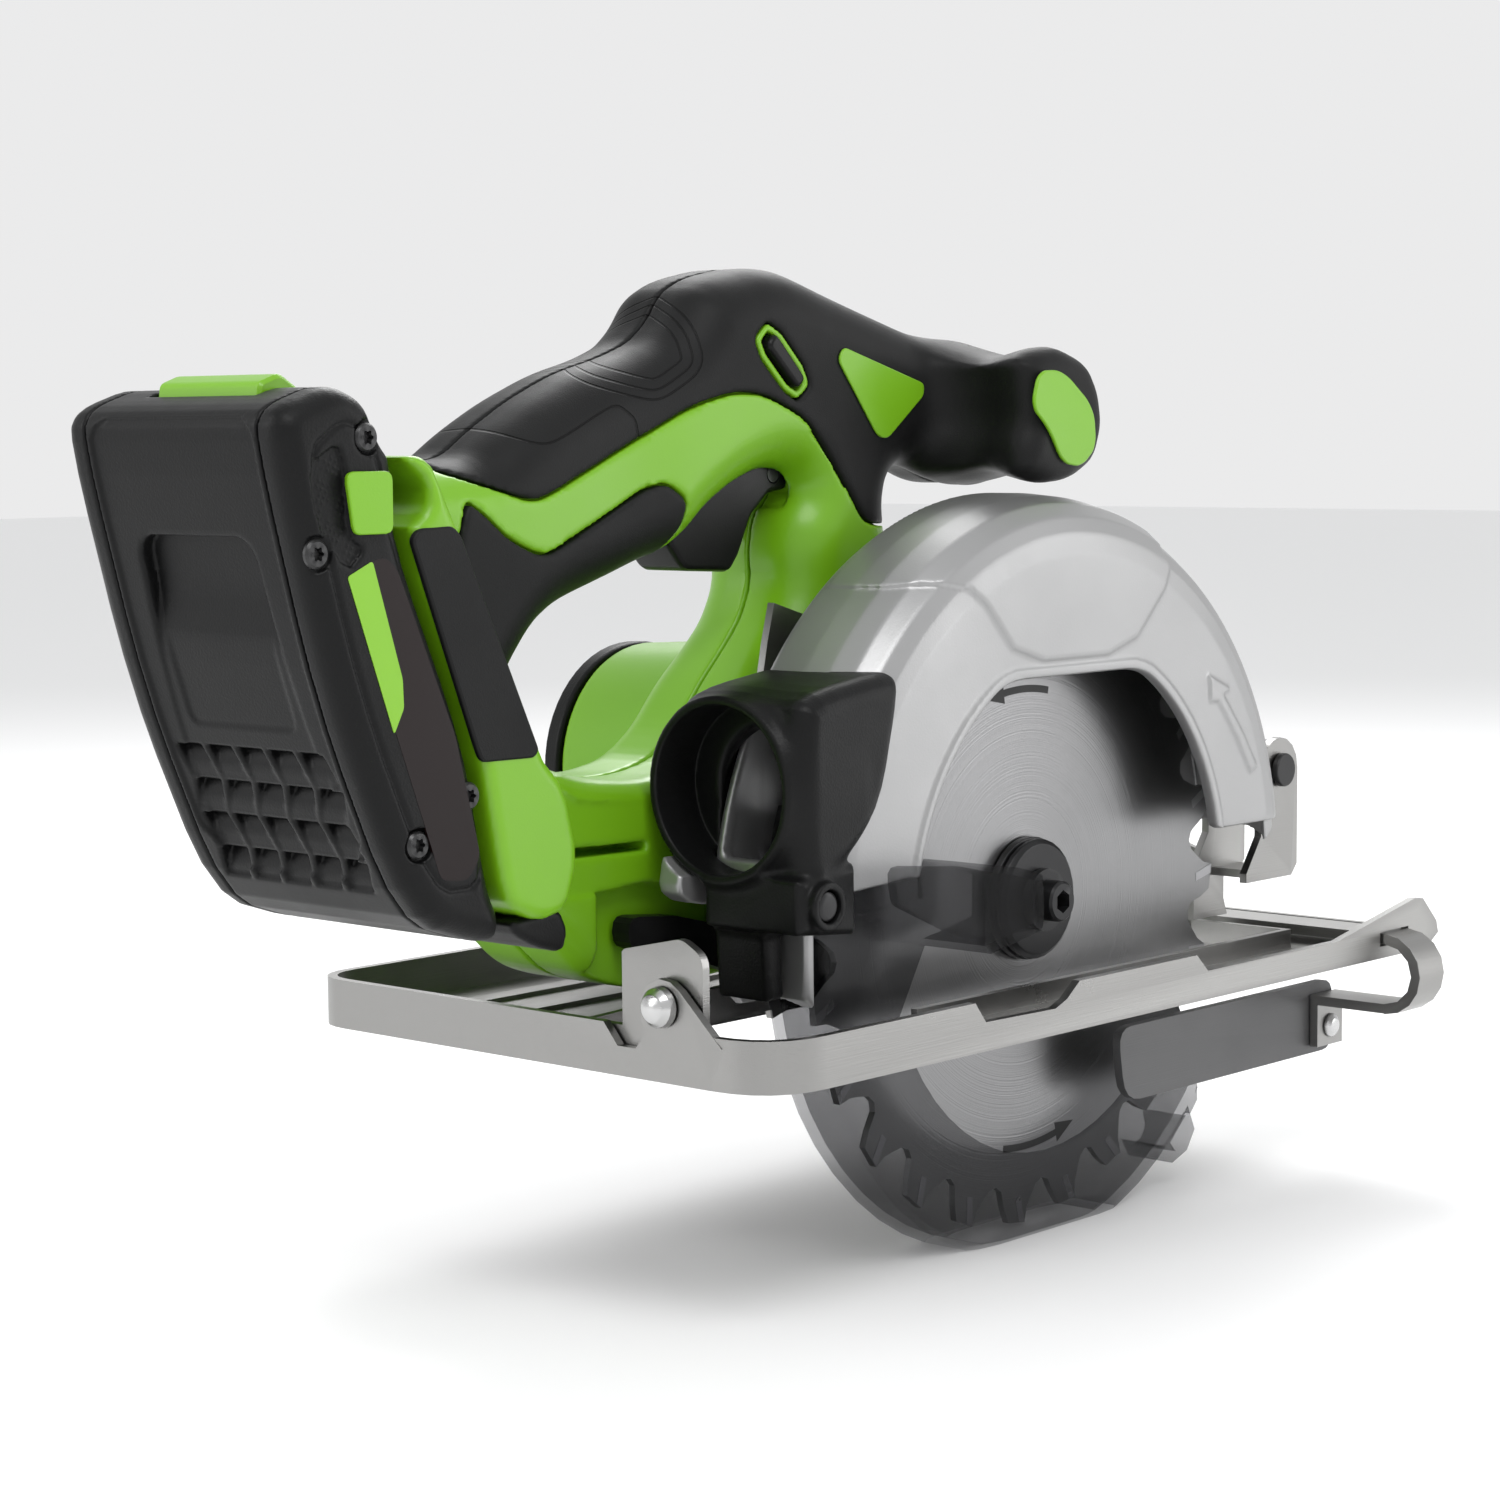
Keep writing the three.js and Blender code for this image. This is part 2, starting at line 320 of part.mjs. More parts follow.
// ================================================================ lower guard
{
  const A0 = -200, A1 = -41;
  const near = [[63, -9], [85.6, -9], [87.6, -8.2], [88.6, -6.4], [88.6, 6.4], [87.6, 8.2], [85.6, 9], [60, 9], [60, 7.3], [84.6, 7.3], [86.4, 5.6], [86.4, -5.6], [84.6, -7.3], [63, -7.3], [63, -9]];
  const pie = [[0, 0], ...arcPts(120, A0, A1, 12)];
  let g = lathe(near, 54).intersect(xz(pie, -20, 20));
  // cheek on the gear side carries the hub
  const hubpie = [pol(14, -215), ...arcPts(62, -200, -60, 10), pol(14, -40)];
  g = g.add(xz(hubpie, 7.3, 9)).add(cylY(0, 0, 21, 7.3, 9, 40));
  // front nose and bumper loop
  g = g.add(xz([pol(70, -41.2), pol(70.5, -38), pol(84, -40), pol(88.4, -43), pol(88.4, -46), pol(70, -46)], -9, 9).subtract(xz([pol(60, -30), pol(60, -60), pol(86.3, -60), pol(86.3, -43), pol(84.4, -41.6), pol(84, -30)], -7.3, 7.3)));
  g = g.add(xz([pol(87.6, -44.2), pol(95.6, -46), pol(97, -49.6), pol(94.6, -53.6), pol(87.6, -53.4)], -7, 7).subtract(xz([pol(89.6, -46), pol(94.2, -47.4), pol(95, -49.6), pol(93.4, -51.8), pol(89.6, -52)], -8, 8)));
  // inner cheek towards the lever, and the lever arm standing out in front of the blade
  g = g.add(xz([pol(48.2, -176.5), pol(63.2, -160), pol(72, -160), pol(72, -196), pol(54, -196)], -9, -7.3));
  const arm = [[-50, -6], [-50, 15.5], [-37, 13.5], [-27.5, 11], [-27.5, -2.2], [-40, -4.5]];
  g = g.add(xz(rounded(arm.map(p => [p[0], p[1], 2]), 2), -27.5, -7.3).subtract(xz(inset(arm, 1.8), -26, -6)));
  g = g.add(xz(rounded([[-30, 9.5, 2], [-30, -1.5, 2], [-60, -0.5, 3], [-84, 10, 3], [-86, 19, 3], [-62, 16.6, 2]], 3), -29.5, -27));
  g = g.subtract(cylY(0, 0, 15.4, 5, 12, 40));
  add('lower_guard', g, 'clear');
}
{
  // return spring: one open turn of wire around the hub with a hook at each end
  const curve = new THREE.CatmullRomCurve3([...arcPts(18.4, -20, 300, 22).map(p => new THREE.Vector3(p[0], 10.5, p[1])), new THREE.Vector3(16, 10.5, -21)]);
  const s = new THREE.Shape(circle(0, 0, 0.7, 8).map(p => V2(p[0], p[1])));
  add('guard_spring', solid(new THREE.ExtrudeGeometry(s, { steps: 30, bevelEnabled: false, extrudePath: curve })), 'steel');
}

// ================================================================ dust port
{
  const poly = rounded([[-108, 57.3, 0], [-72, 62.6, 2], [-69.5, 57, 4], [-76.5, 31, 8], [-90, 18, 4], [-101, 14, 3], [-108, 15, 0]], 4);
  let m = cylX(3.2, 36, 21.3, -108.6, -84, 40).add(xz(poly, -20.6, 17.6, [], { bevel: 1.5 }).intersect(xz([[-104, 70], [-60, 70], [-60, 0], [-104, 0]], -30, 30)));
  m = m.add(xz(rounded([[-108, 16, 1], [-88, 18, 0], [-88, 3, 2], [-108, 4.5, 2]], 3), -20.6, 9));
  m = m.add(xz(rounded([[-104.5, 6, 0], [-92, 6, 0], [-92, -12, 2], [-103, -12, 2]], 3), -7, 9));
  m = m.add(cylY(-100.5, 11, 5.6, -23.4, -19, 24));
  const grow = guardOuter.map((p, i) => [p[0] === 0 ? 0 : p[0] + 0.35, i < 2 ? p[1] - 0.35 : p[1] + (p[1] > 12 ? 0.35 : -0.05)]);
  m = m.subtract(lathe(grow, 48));
  m = m.subtract(xz(inset(guardWall, -0.4), 11.8, 30).subtract(cylX(3.2, 36, 21.4, -125, -83, 40)));
  m = m.subtract(cylX(3.2, 36, 19.3, -112, -95, 40)).subtract(cylX(0.5, 36, 14, -112, -60, 32)).subtract(xz([[-96, 50], [-60, 50], [-60, 22], [-96, 22]], -12, 11));
  m = m.subtract(cylY(-100.5, 11, 2.6, -30, -8, 20)).subtract(cylY(-100.5, 11, 3.8, -30, -20.5, 20));
  add('dust_port', m, 'dark');
  add('dust_port_screw', lathe([[0, -23], [2.2, -23], [3.4, -22.4], [3.4, -21], [2.2, -20.4], [2.2, -9], [0, -9]], 16, -100.5, 11), 'oxide');
}

// ================================================================ depth clamp
{
  let m = cylY(CLAMP.x, CLAMP.z, 6.2, 22.8, 29.6, 28);
  m = m.add(xz(rounded([[-57, -15.5, 3], [-66, -15.8, 2], [-100, -4.6, 2], [-116, -1.2, 4], [-116, 6.2, 4], [-100, 4.6, 2], [-64, -4.4, 2]], 3), 24.2, 29.6));
  m = m.subtract(cylY(CLAMP.x, CLAMP.z, 3.2, 20, 26.6, 20));
  add('depth_lever', m, 'grip');
  add('depth_clamp_bolt', lathe([[0, 10.2], [2.9, 10.2], [2.9, 26.2], [0, 26.2]], 20, CLAMP.x, CLAMP.z), 'steel');
}

// ================================================================ motor
add('stator', lathe(ringP(14.9, 26.6, 47, 82), 48, MOTOR.x, MOTOR.z), 'copper');
add('rotor', lathe([[3.1, 45.5], [9, 45.5], [14, 46.5], [14, 82.5], [9, 83.5], [3.1, 83.5], [3.1, 45.5]], 36, MOTOR.x, MOTOR.z), 'steel');
{
  const p = []; for (let i = 0; i < 12; i++) for (const [f, r] of [[0, 3.3], [0.3, 3.3], [0.42, 4.45], [0.78, 4.45]]) p.push(pol(r, (i + f) * 30 + 9, MOTOR.x, MOTOR.z));
  let m = xz(p, 20.8, 28.6).add(cylY(MOTOR.x, MOTOR.z, 2.9, 28.4, 94.5, 20));
  add('motor_shaft', m, 'steel');
}
{
  let m = lathe([[3.1, 36.6], [6, 36.6], [6, 40], [24.6, 41], [24.6, 42.4], [6, 42.6], [3.1, 42.6], [3.1, 36.6]], 36, MOTOR.x, MOTOR.z);
  for (let i = 0; i < 9; i++) {
    const a = i * 40;
    m = m.add(xz([pol(8, a, MOTOR.x, MOTOR.z), pol(16, a + 6, MOTOR.x, MOTOR.z), pol(24, a + 16, MOTOR.x, MOTOR.z), pol(23.6, a + 20, MOTOR.x, MOTOR.z), pol(15.6, a + 12, MOTOR.x, MOTOR.z), pol(8, a + 10, MOTOR.x, MOTOR.z)], 37.4, 41.6));
  }
  add('cooling_fan', m, 'black');
}
add('end_motor_bearing', lathe(ringP(3.15, 7.6, 88.4, 93.2), 28, MOTOR.x, MOTOR.z), 'steel');

// ================================================================ shells
// side outline of the body, and the finger opening behind the trigger column
const body = [[-180, 110.2], [-166, 110.2], [-154, 111], [-144.7, 117.3], [-132.5, 124], [-118, 130], [-103.4, 133.6], [-93.3, 137.2], [-87, 142.2], [-82, 149], [-74.6, 152], [-60.8, 155.3], [-51, 154.9], [-30.8, 148.8], [3.4, 139], [16, 137.5], [28, 133.5], [35.5, 126], [38, 117], [35.5, 108], [28, 102.6], [20, 103.4], [10, 107.4], [0, 109], [-8, 107.6], [-13.4, 103.8], [-14.8, 97], [-12, 84], [-6, 68], [-1.5, 50], [0, 31], [-2.5, 16], [-10, 4], [-22, -4], [-40, -8.5], [-60, -11.5], [-97.7, -12.9], [-112, -11], [-124.2, -7], [-134.5, 3], [-146, 9], [-158, 11.6], [-166, 16], [-168, 24], [-172, 50], [-180, 82]];
const loop = [[-92, 88.6], [-99, 87], [-111, 83], [-128, 78], [-137, 73], [-147, 63], [-152, 54], [-149, 47.5], [-139, 43.5], [-126, 38.5], [-104, 36], [-88, 38.6], [-77, 46], [-69, 56], [-61, 63.8], [-54.5, 71], [-50.8, 79.4], [-51.4, 88], [-50, 95], [-45.5, 101.6], [-49, 106.6], [-58, 107.4], [-69, 103.6], [-79, 98], [-86, 92]];
const topLine = [[-169.8, 109.7], [-157.5, 105.8], [-144.9, 101.9], [-139.3, 101.5], [-126, 106.6], [-106.4, 115.1], [-89.2, 122.4], [-75.7, 125.4], [-65.1, 124.9], [-50.7, 119.5], [-41.5, 110.5], [-34.1, 100.6], [-28.8, 93.4], [-14.9, 92.6], [20, 92.6], [60, 92], [60, 180], [-169.8, 180]];
const lowLine = [[-162.8, 102.9], [-156.6, 98.8], [-149.5, 93.4], [-138.5, 89.3], [-130.6, 92.2], [-117.7, 97.9], [-105.5, 103.7], [-98.5, 105], [-91.5, 100.9], [-91.4, 94.9], [-94.2, 89.4], [-94.2, 70], [-140, 64], [-160, 56]];
const barSec = rounded([[-1.5, 133, 9], [13, 137, 10], [28, 131, 10], [31.5, 118, 10], [27, 105.5, 10], [12, 102.8, 10], [-1, 106.5, 9], [2.5, 119, 12]], 4);
const mountSec = [[-195.2, 111.8], [-190.4, 112.3], [-186.3, 109.4], [-157.5, 47.6], [-150, 40], [-146, 24], [-150, 13], [-158, 11.6], [-167.5, 15.5], [-169.9, 22], [-175.4, 51], [-194.8, 96.4], [-188.7, 101.2], [-188.6, 106.5]];
const barrelProf = (d, y1) => [[0, 20], [33 - d, 20], [33 - d, 60], [30.6 - d, y1], [0, y1]];
const cutGear = (s) => s.subtract(xz(rounded([...arcPts(21.2, -150, 55, 12), ...arcPts(13.1, 40, 120, 6, MOTOR.x, MOTOR.z + 4), ...arcPts(14.1, 150, 220, 5, MOTOR.x - 2, MOTOR.z - 6)], 3), 15, 36.2));
const railPocket = xz([[-202, 97], [-214, 122], [-195, 122], [-184.2, 97], [-158.8, 39.4], [-160.2, 22.4], [-178, 22.4], [-186, 54]], 23.5, 66.5);
const trigHole = xz([[-93.5, 90.5], [-93, 104], [-84, 112.5], [-62, 119.5], [-43.5, 116.5], [-41.5, 106], [-45, 98], [-60, 97], [-80, 92]], 36.9, 53.1);
const lockHole = xz(rounded([[-67.5, 137.2, 2], [-63, 141, 2], [-50, 128.4, 2], [-54.6, 124.8, 2]], 3), 20, 70);
const hollow = (side) => {
  const y0 = side > 0 ? SPLIT - 1 : 29.6, y1 = side > 0 ? 60.4 : SPLIT + 1;
  let c = xz([[-160, 98], [-146, 92], [-132, 92], [-116, 97], [-100, 103], [-92, 106], [-84, 116], [-60, 122], [-40, 114], [-26, 116], [-8, 114], [8, 114], [8, 128], [-34, 142], [-60, 148], [-72, 145], [-80, 138], [-88, 131], [-110, 124], [-134, 116], [-148, 108], [-160, 105]], y0, y1);
  c = c.add(xz([[-143, 34], [-128, 30], [-100, 28], [-86, 29], [-74, 35], [-70, 10], [-72, -6], [-98, -8], [-122, -3], [-132, 6], [-146, 14]], y0, y1));
  c = c.add(xz([[-44, 98], [-38, 104], [-30, 106], [-19, 101], [-16, 88], [-13, 72], [-22, 66], [-44, 66], [-46, 76]], y0, y1));
  return c;
};
const shells = {};
for (const side of [-1, 1]) {
  const y0 = side < 0 ? 26 : SPLIT + 0.15, y1 = side < 0 ? SPLIT - 0.15 : 64;
  const half = box(-300, 200, side < 0 ? -100 : SPLIT + 0.15, side < 0 ? SPLIT - 0.15 : 200, -100, 300);
  const full = xz(body, 26, 64, [], { bevel: 4 }).subtract(xz(loop, 0, 100));
  const core = xz(inset(body, 2.2), 28.2, 61.8, [], { bevel: 3 }).subtract(xz(inset(loop, -2.2), 0, 100));
  let bar = xz(barSec, -4, 30, [], { bevel: 3 }), barCore = xz(inset(barSec, 2.2), -1.8, 30, [], { bevel: 2 });
  const mount = xz(mountSec, 9, 81).add(xz([[-160, 13], [-150, 14], [-147.6, 8], [-149, 3.4], [-157, 5.6], [-163, 8.6], [-165, 12.2]], 12, 78));
  let A = full.add(mount), C = core;
  if (side < 0) { A = A.add(bar); C = C.add(barCore); }
  if (side > 0) A = A.add(lathe([[0, 40], [33, 40], [33, 62], [30.8, 98.5], [0, 98.5]], 56, MOTOR.x, MOTOR.z));
  A = A.intersect(half);
  const K = xz(topLine, -20, 110), Kg = xz(inset(topLine, -0.3), -20, 110);
  const Q = xz(lowLine, -20, 110), Qg = xz(inset(lowLine, -0.3), -20, 110);
  const Cg = side < 0 ? xz(inset(body, 1.9), 27.9, 62.1, [], { bevel: 3 }).subtract(xz(inset(loop, -1.9), 0, 100)).add(xz(inset(barSec, 1.9), -2.1, 30, [], { bevel: 2 })) : xz(inset(body, 1.9), 27.9, 62.1, [], { bevel: 3 }).subtract(xz(inset(loop, -1.9), 0, 100));
  const grip = A.intersect(K).subtract(mount).subtract(lockHole).subtract(Cg).subtract(xz([[-200, 200], [-165.6, 200], [-165.6, 0], [-200, 0]], -20, 110));
  const low = A.intersect(Q).subtract(xz(inset(mountSec, -0.3), 0, 100)).subtract(Cg);
  let shell = A.subtract(Kg.subtract(xz([[-200, 200], [-165.9, 200], [-165.9, 0], [-200, 0]], -20, 110))).subtract(Qg.subtract(mount)).add(C.intersect(half).intersect(xz([[-250, 300], [100, 300], [100, -100], [-250, -100]], -50, 150)));
  shell = shell.subtract(hollow(side)).subtract(trigHole).subtract(lockHole).subtract(railPocket).subtract(cylY(TRIG.x, TRIG.z, 2.3, 33, 57, 16));
  shell = cutGear(shell);
  // motor bore, spigot for the end bearing, and the space for the clamp lever
  shell = shell.subtract(cylY(MOTOR.x, MOTOR.z, 26.9, 36.2, 84.5, 48)).subtract(cylY(MOTOR.x, MOTOR.z, 7.8, 80, 93.6, 32)).subtract(cylY(MOTOR.x, MOTOR.z, 20, 93.6, 120, 32));
  if (side < 0) shell = shell.subtract(xz([[-124, -14], [-124, 12], [-108, 13], [-52, 6], [-48, -20], [-70, -22]], 22, 31)).subtract(xz([[-90, 80], [-20, 80], [10, 60], [20, -20], [-80, -20], [-113, 8], [-113, 24], [-94, 60]], 24, 25.9));
  // air slots
  if (side < 0) shell = shell.subtract(xz([[-134, 23.5], [-108, 22.9], [-108, 20.6], [-134, 21]], 20, 40));
  if (side > 0) for (let k = 0; k < 4; k++) shell = shell.subtract(xz([[-134, 26 - k * 5], [-104, 25.4 - k * 5], [-104, 23 - k * 5], [-134, 23.4 - k * 5]], 50, 80));
  shells[side] = { shell, grip, low };
}
add('housing_right', shells[-1].shell, 'green');
add('housing_left', shells[1].shell, 'green');
add('grip_right', shells[-1].grip, 'grip');
add('grip_left', shells[1].grip, 'grip');
add('lower_grip_right', shells[-1].low, 'grip');
add('lower_grip_left', shells[1].low, 'grip');
add('triangle_inlay', xz(rounded([[-39.1, 133.2, 1.5], [-37.4, 136.4, 1.5], [-6.6, 127.8, 1.5], [-6.8, 125, 1.5], [-21, 114.4, 2], [-24.4, 115.2, 1]], 3), 25.2, 25.85), 'green');
add('front_handle_inlay', xz(rounded([[-1.4, 122.4, 3], [1.5, 130.2, 3], [10.7, 130, 3], [23, 121.4, 3], [24, 112, 3], [18.4, 107.3, 3], [11.4, 108.2, 3], [6, 116.6, 4]], 4), -5.2, -4.15), 'green');
{
  // collar between the shells and the cap at the end of the motor
  let m = lathe([[0, 98.8], [30.6, 98.8], [31.2, 99.8], [31, 103.6], [28.6, 105.4], [0, 105.4]], 56, MOTOR.x, MOTOR.z);
  m = m.subtract(cylY(MOTOR.x, MOTOR.z, 18, 90, 103, 32));
  for (let k = 0; k < 6; k++) { const a = k * 60; m = m.subtract(xz([pol(22, a - 5, MOTOR.x, MOTOR.z), pol(26.6, a - 4.4, MOTOR.x, MOTOR.z), pol(26.6, a + 4.4, MOTOR.x, MOTOR.z), pol(22, a + 5, MOTOR.x, MOTOR.z)], 101, 110)); }
  for (let k = 0; k < 4; k++) m = m.subtract(xz([pol(7, k * 90 + 10, MOTOR.x, MOTOR.z), pol(14, k * 90 + 10, MOTOR.x, MOTOR.z), pol(14, k * 90 + 80, MOTOR.x, MOTOR.z), pol(7, k * 90 + 80, MOTOR.x, MOTOR.z)], 101, 110));
  add('motor_end_cap', m, 'dark');
}
// ================================================================ switch
{
  let t = xz(rounded([[-87.4, 90.2, 2], [-81.6, 83.6, 5], [-65.4, 82.8, 3], [-62.2, 86.8, 3], [-57.6, 96, 5], [-51, 101.4, 3], [-44.4, 102.2, 2], [-44.2, 108.4, 2], [-52.4, 110.4, 2], [-68, 104.2, 4], [-82, 98.6, 3]], 4), 37.3, 52.7, [], { bevel: 1.6, seg: 2 });
  t = t.subtract(cylY(TRIG.x, TRIG.z, 2.3, 30, 60, 16));
  add('trigger', t, 'black');
  add('trigger_pin', cylY(TRIG.x, TRIG.z, 2, 33.4, 56.6, 16), 'steel');
  add('switch_module', box(-82, -68, 38, 52, 121.5, 134), 'black');
  const lb = rounded([[-65.9, 136.6, 2], [-62.6, 139.8, 2], [-51.6, 128.8, 2], [-54.6, 126.2, 2]], 4);
  add('lock_off_button', xz(lb, 24.6, 66, [], { bevel: 0.8 }), 'black');
  add('control_board', xz([[-140, 28], [-96, 26], [-96, 24.4], [-140, 26.4]], 32, 58), 'board');
}
// ================================================================ battery
{
  const rail = xz([[-200, 95], [-185.4, 95], [-160.4, 39], [-161.8, 24], [-177, 24], [-184, 54]], 24, 66);
  const pack = [[-229.2, 117], [-226.5, 122.5], [-213, 127], [-204.4, 123.6], [-200.6, 115.4], [-197.2, 111.6], [-197.4, 96.2], [-178, 51], [-172.4, 21], [-168.6, 13.2], [-170.6, 7.2], [-194, 15], [-214.6, 62]];
  const outer = rounded(pack.map((p, i) => [p[0], p[1], [4, 4, 4, 3, 3, 1, 1, 1, 1, 1, 3, 4, 0][i]]), 2);
  const face = [[-226.4, 116.5], [-224.5, 120.4], [-213, 124.4], [-206.4, 121.8], [-202.9, 114.2], [-199.8, 110.6], [-199.8, 95.6], [-180.4, 50.4], [-174.6, 21], [-171.4, 13.6], [-172.4, 10.4], [-193, 17.4], [-212, 63]];
  add('battery_shell', xz(outer, 17.2, 72.8).add(rail).subtract(xz([[-214.4, 111.6], [-205, 111.6], [-205, 135], [-219, 135], [-219, 119]], 28, 62)).subtract(xz([[-214, 104], [-203, 108], [-180, 46], [-181, 30], [-190, 27], [-209, 66]], 22, 68)).subtract(xz([[-205, 108], [-196, 90], [-176, 44], [-166, 40], [-170, 52], [-190, 98]], 34, 38)), 'dark');
  add('battery_side_right', xz(outer, 11, 16.9).add(xz(face, 9, 12)), 'dark');
  add('battery_side_left', xz(outer, 73.1, 79).add(xz(face, 78, 81)), 'dark');
  add('cell_pack', xz([[-213, 102], [-203.4, 105.6], [-181, 46], [-182, 32], [-189.6, 29], [-208, 66]], 23, 67), 'cell');
  add('battery_latch', xz(rounded([[-214.1, 113.4, 0], [-205.3, 113.4, 0], [-205.3, 121, 1], [-206, 125.6, 2], [-212, 129.4, 3], [-217.6, 127.4, 2], [-218.4, 121, 1]], 3), 28.4, 61.6, [], { bevel: 0.8 }), 'green');
  for (const [i, p] of [[-205.6, 116], [-219.4, 92.8], [-178.8, 40.5], [-193.5, 31.5]].entries()) {
    const h = cylY(p[0], p[1], 2.6, 8.2, 9.0, 16);
    add(`battery_screw_${i + 1}`, h, 'oxide');
  }
}
add('usb_cover', xz(rounded([[-213.2, 109.2, 2], [-200.6, 109.2, 2], [-200.6, 96.4, 2], [-211.2, 96.4, 2]], 3), 7.5, 8.7), 'green');
// ================================================================ rip fence
{
  let bar = yz([[88, -18.8], [88, -21.6], [-38, -21.6], ...arcPts(8.1, 90, 270, 6, -38, -29.7), [-15, -37.8], [-15, -52], [-17.4, -52], [-17.4, -40.4], [-38, -40.4], ...arcPts(10.9, 270, 90, 8, -38, -29.7)].filter((p, i, a) => i === 0 || Math.hypot(p[0] - a[i - 1][0], p[1] - a[i - 1][1]) > 0.05), 109.9, 122.4);
  bar = bar.subtract(cylY(116.1, -46.6, 1.9, -20, -12, 16));
  add('fence_bar', bar, 'steel');
  const guide = xz(rounded([[21, -34.6, 5], [121.4, -34.6, 5], [121.4, -54, 5], [24, -54, 8]], 4), -14.7, -12.3).subtract(cylY(116.1, -46.6, 1.9, -20, -10, 16));
  add('fence_plate', guide, 'fence');
  add('fence_rivet', lathe([[0, -19.4], [2, -19.2], [3.1, -18.4], [3.3, -17.6], [1.7, -17.6], [1.7, -12], [3.1, -12], [2.6, -11.2], [0, -11]], 20, 116.1, -46.6), 'steel');
  const k = []; for (let i = 0; i < 24; i++) k.push(pol(i % 4 < 2 ? 7.2 : 6.4, i * 15, 116, 65));
  add('fence_screw', xy(k, -12.4, -5).add(cylZ(116, 65, 2.3, -18.6, -12, 16)), 'grip');
}
saw.updateMatrixWorld(true);
const root = new THREE.Group();
root.name = 'circular_saw';
root.add(saw);
export default root;
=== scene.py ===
import bpy, bmesh, math
import numpy as np
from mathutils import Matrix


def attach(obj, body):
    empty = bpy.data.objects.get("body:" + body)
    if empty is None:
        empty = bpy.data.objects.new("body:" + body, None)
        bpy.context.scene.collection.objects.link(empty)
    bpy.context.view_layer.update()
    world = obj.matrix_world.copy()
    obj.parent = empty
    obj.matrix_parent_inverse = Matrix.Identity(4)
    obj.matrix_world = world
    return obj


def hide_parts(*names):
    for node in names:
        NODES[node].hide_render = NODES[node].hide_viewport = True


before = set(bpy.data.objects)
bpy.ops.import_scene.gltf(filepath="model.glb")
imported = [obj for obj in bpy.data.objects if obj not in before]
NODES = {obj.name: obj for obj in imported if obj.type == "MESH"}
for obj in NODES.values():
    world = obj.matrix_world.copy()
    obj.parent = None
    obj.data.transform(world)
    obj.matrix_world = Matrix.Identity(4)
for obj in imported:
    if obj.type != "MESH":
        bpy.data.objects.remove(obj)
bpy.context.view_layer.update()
import openvdb as vdb
from mathutils import Matrix, Vector

OFF = np.array([0.0, -37.8, 25.5])          # blade centre in the row frame, mm
Q = 1.0


# ------------------------------------------------------------------ distance fields (mm, about the blade centre)
def chaikin(P, n=2):
    P = np.array(P, float)
    for _ in range(n):
        N = np.roll(P, -1, axis=0)
        P = np.stack([0.8 * P + 0.2 * N, 0.2 * P + 0.8 * N], 1).reshape(-1, 2)
    return P


def poly2(P, X, Z):
    P = np.asarray(P, np.float32)
    d = np.full(X.shape, 1e9, np.float32)
    s = np.ones(X.shape, bool)
    for i in range(len(P)):
        a, b = P[i], P[i - 1]
        ex, ez = b[0] - a[0], b[1] - a[1]
        wx, wz = X - a[0], Z - a[1]
        t = np.clip((wx * ex + wz * ez) / (ex * ex + ez * ez + 1e-12), 0, 1)
        qx, qz = wx - ex * t, wz - ez * t
        d = np.minimum(d, qx * qx + qz * qz)
        c1, c2, c3 = Z >= a[1], Z < b[1], ex * wz > ez * wx
        s ^= (c1 & c2 & c3) | (~c1 & ~c2 & ~c3)
    return np.where(s, 1, -1).astype(np.float32) * np.sqrt(d)


class Grid:
    def __init__(self, lo, hi, h):
        self.h = h
        self.lo = np.array(lo, float)
        n = [int(math.ceil((hi[i] - lo[i]) / h)) + 1 for i in range(3)]
        ax = [(lo[i] + np.arange(n[i]) * h).astype(np.float32) for i in range(3)]
        self.X, self.Y, self.Z = ax[0][:, None, None], ax[1][None, :, None], ax[2][None, None, :]
        self.x2, self.z2 = np.meshgrid(ax[0], ax[2], indexing="ij")
        self.y3, self.z3 = np.meshgrid(ax[1], ax[2], indexing="ij")
        self.shape = n

    def xz(self, P):
        return poly2(P, self.x2, self.z2)[:, None, :]

    def yz(self, P):
        return poly2(P, self.y3, self.z3)[None, :, :]

    def slab(self, y0, y1):
        return np.abs(self.Y - (y0 + y1) / 2) - (y1 - y0) / 2

    def rad(self, x, z):
        return np.sqrt((self.X - x) ** 2 + (self.Z - z) ** 2)

    def box(self, x0, x1, y0, y1, z0, z1, r=0.0):
        q = [np.abs(self.X - (x0 + x1) / 2) - (x1 - x0) / 2 + r, np.abs(self.Y - (y0 + y1) / 2) - (y1 - y0) / 2 + r, np.abs(self.Z - (z0 + z1) / 2) - (z1 - z0) / 2 + r]
        o = np.sqrt(np.maximum(q[0], 0) ** 2 + np.maximum(q[1], 0) ** 2 + np.maximum(q[2], 0) ** 2)
        return o + np.minimum(np.maximum(np.maximum(q[0], q[1]), q[2]), 0) - r

    def full(self, d):
        return np.broadcast_to(d, self.shape)


def both(a, b, r):
    a, b = a + r, b + r
    return np.minimum(np.maximum(a, b), 0) + np.sqrt(np.maximum(a, 0) ** 2 + np.maximum(b, 0) ** 2) - r


def smin(a, b, k):
    t = np.clip(0.5 + 0.5 * (b - a) / k, 0, 1)
    return b + (a - b) * t - k * t * (1 - t)


def smax(a, b, k):
    return -smin(-a, -b, k)


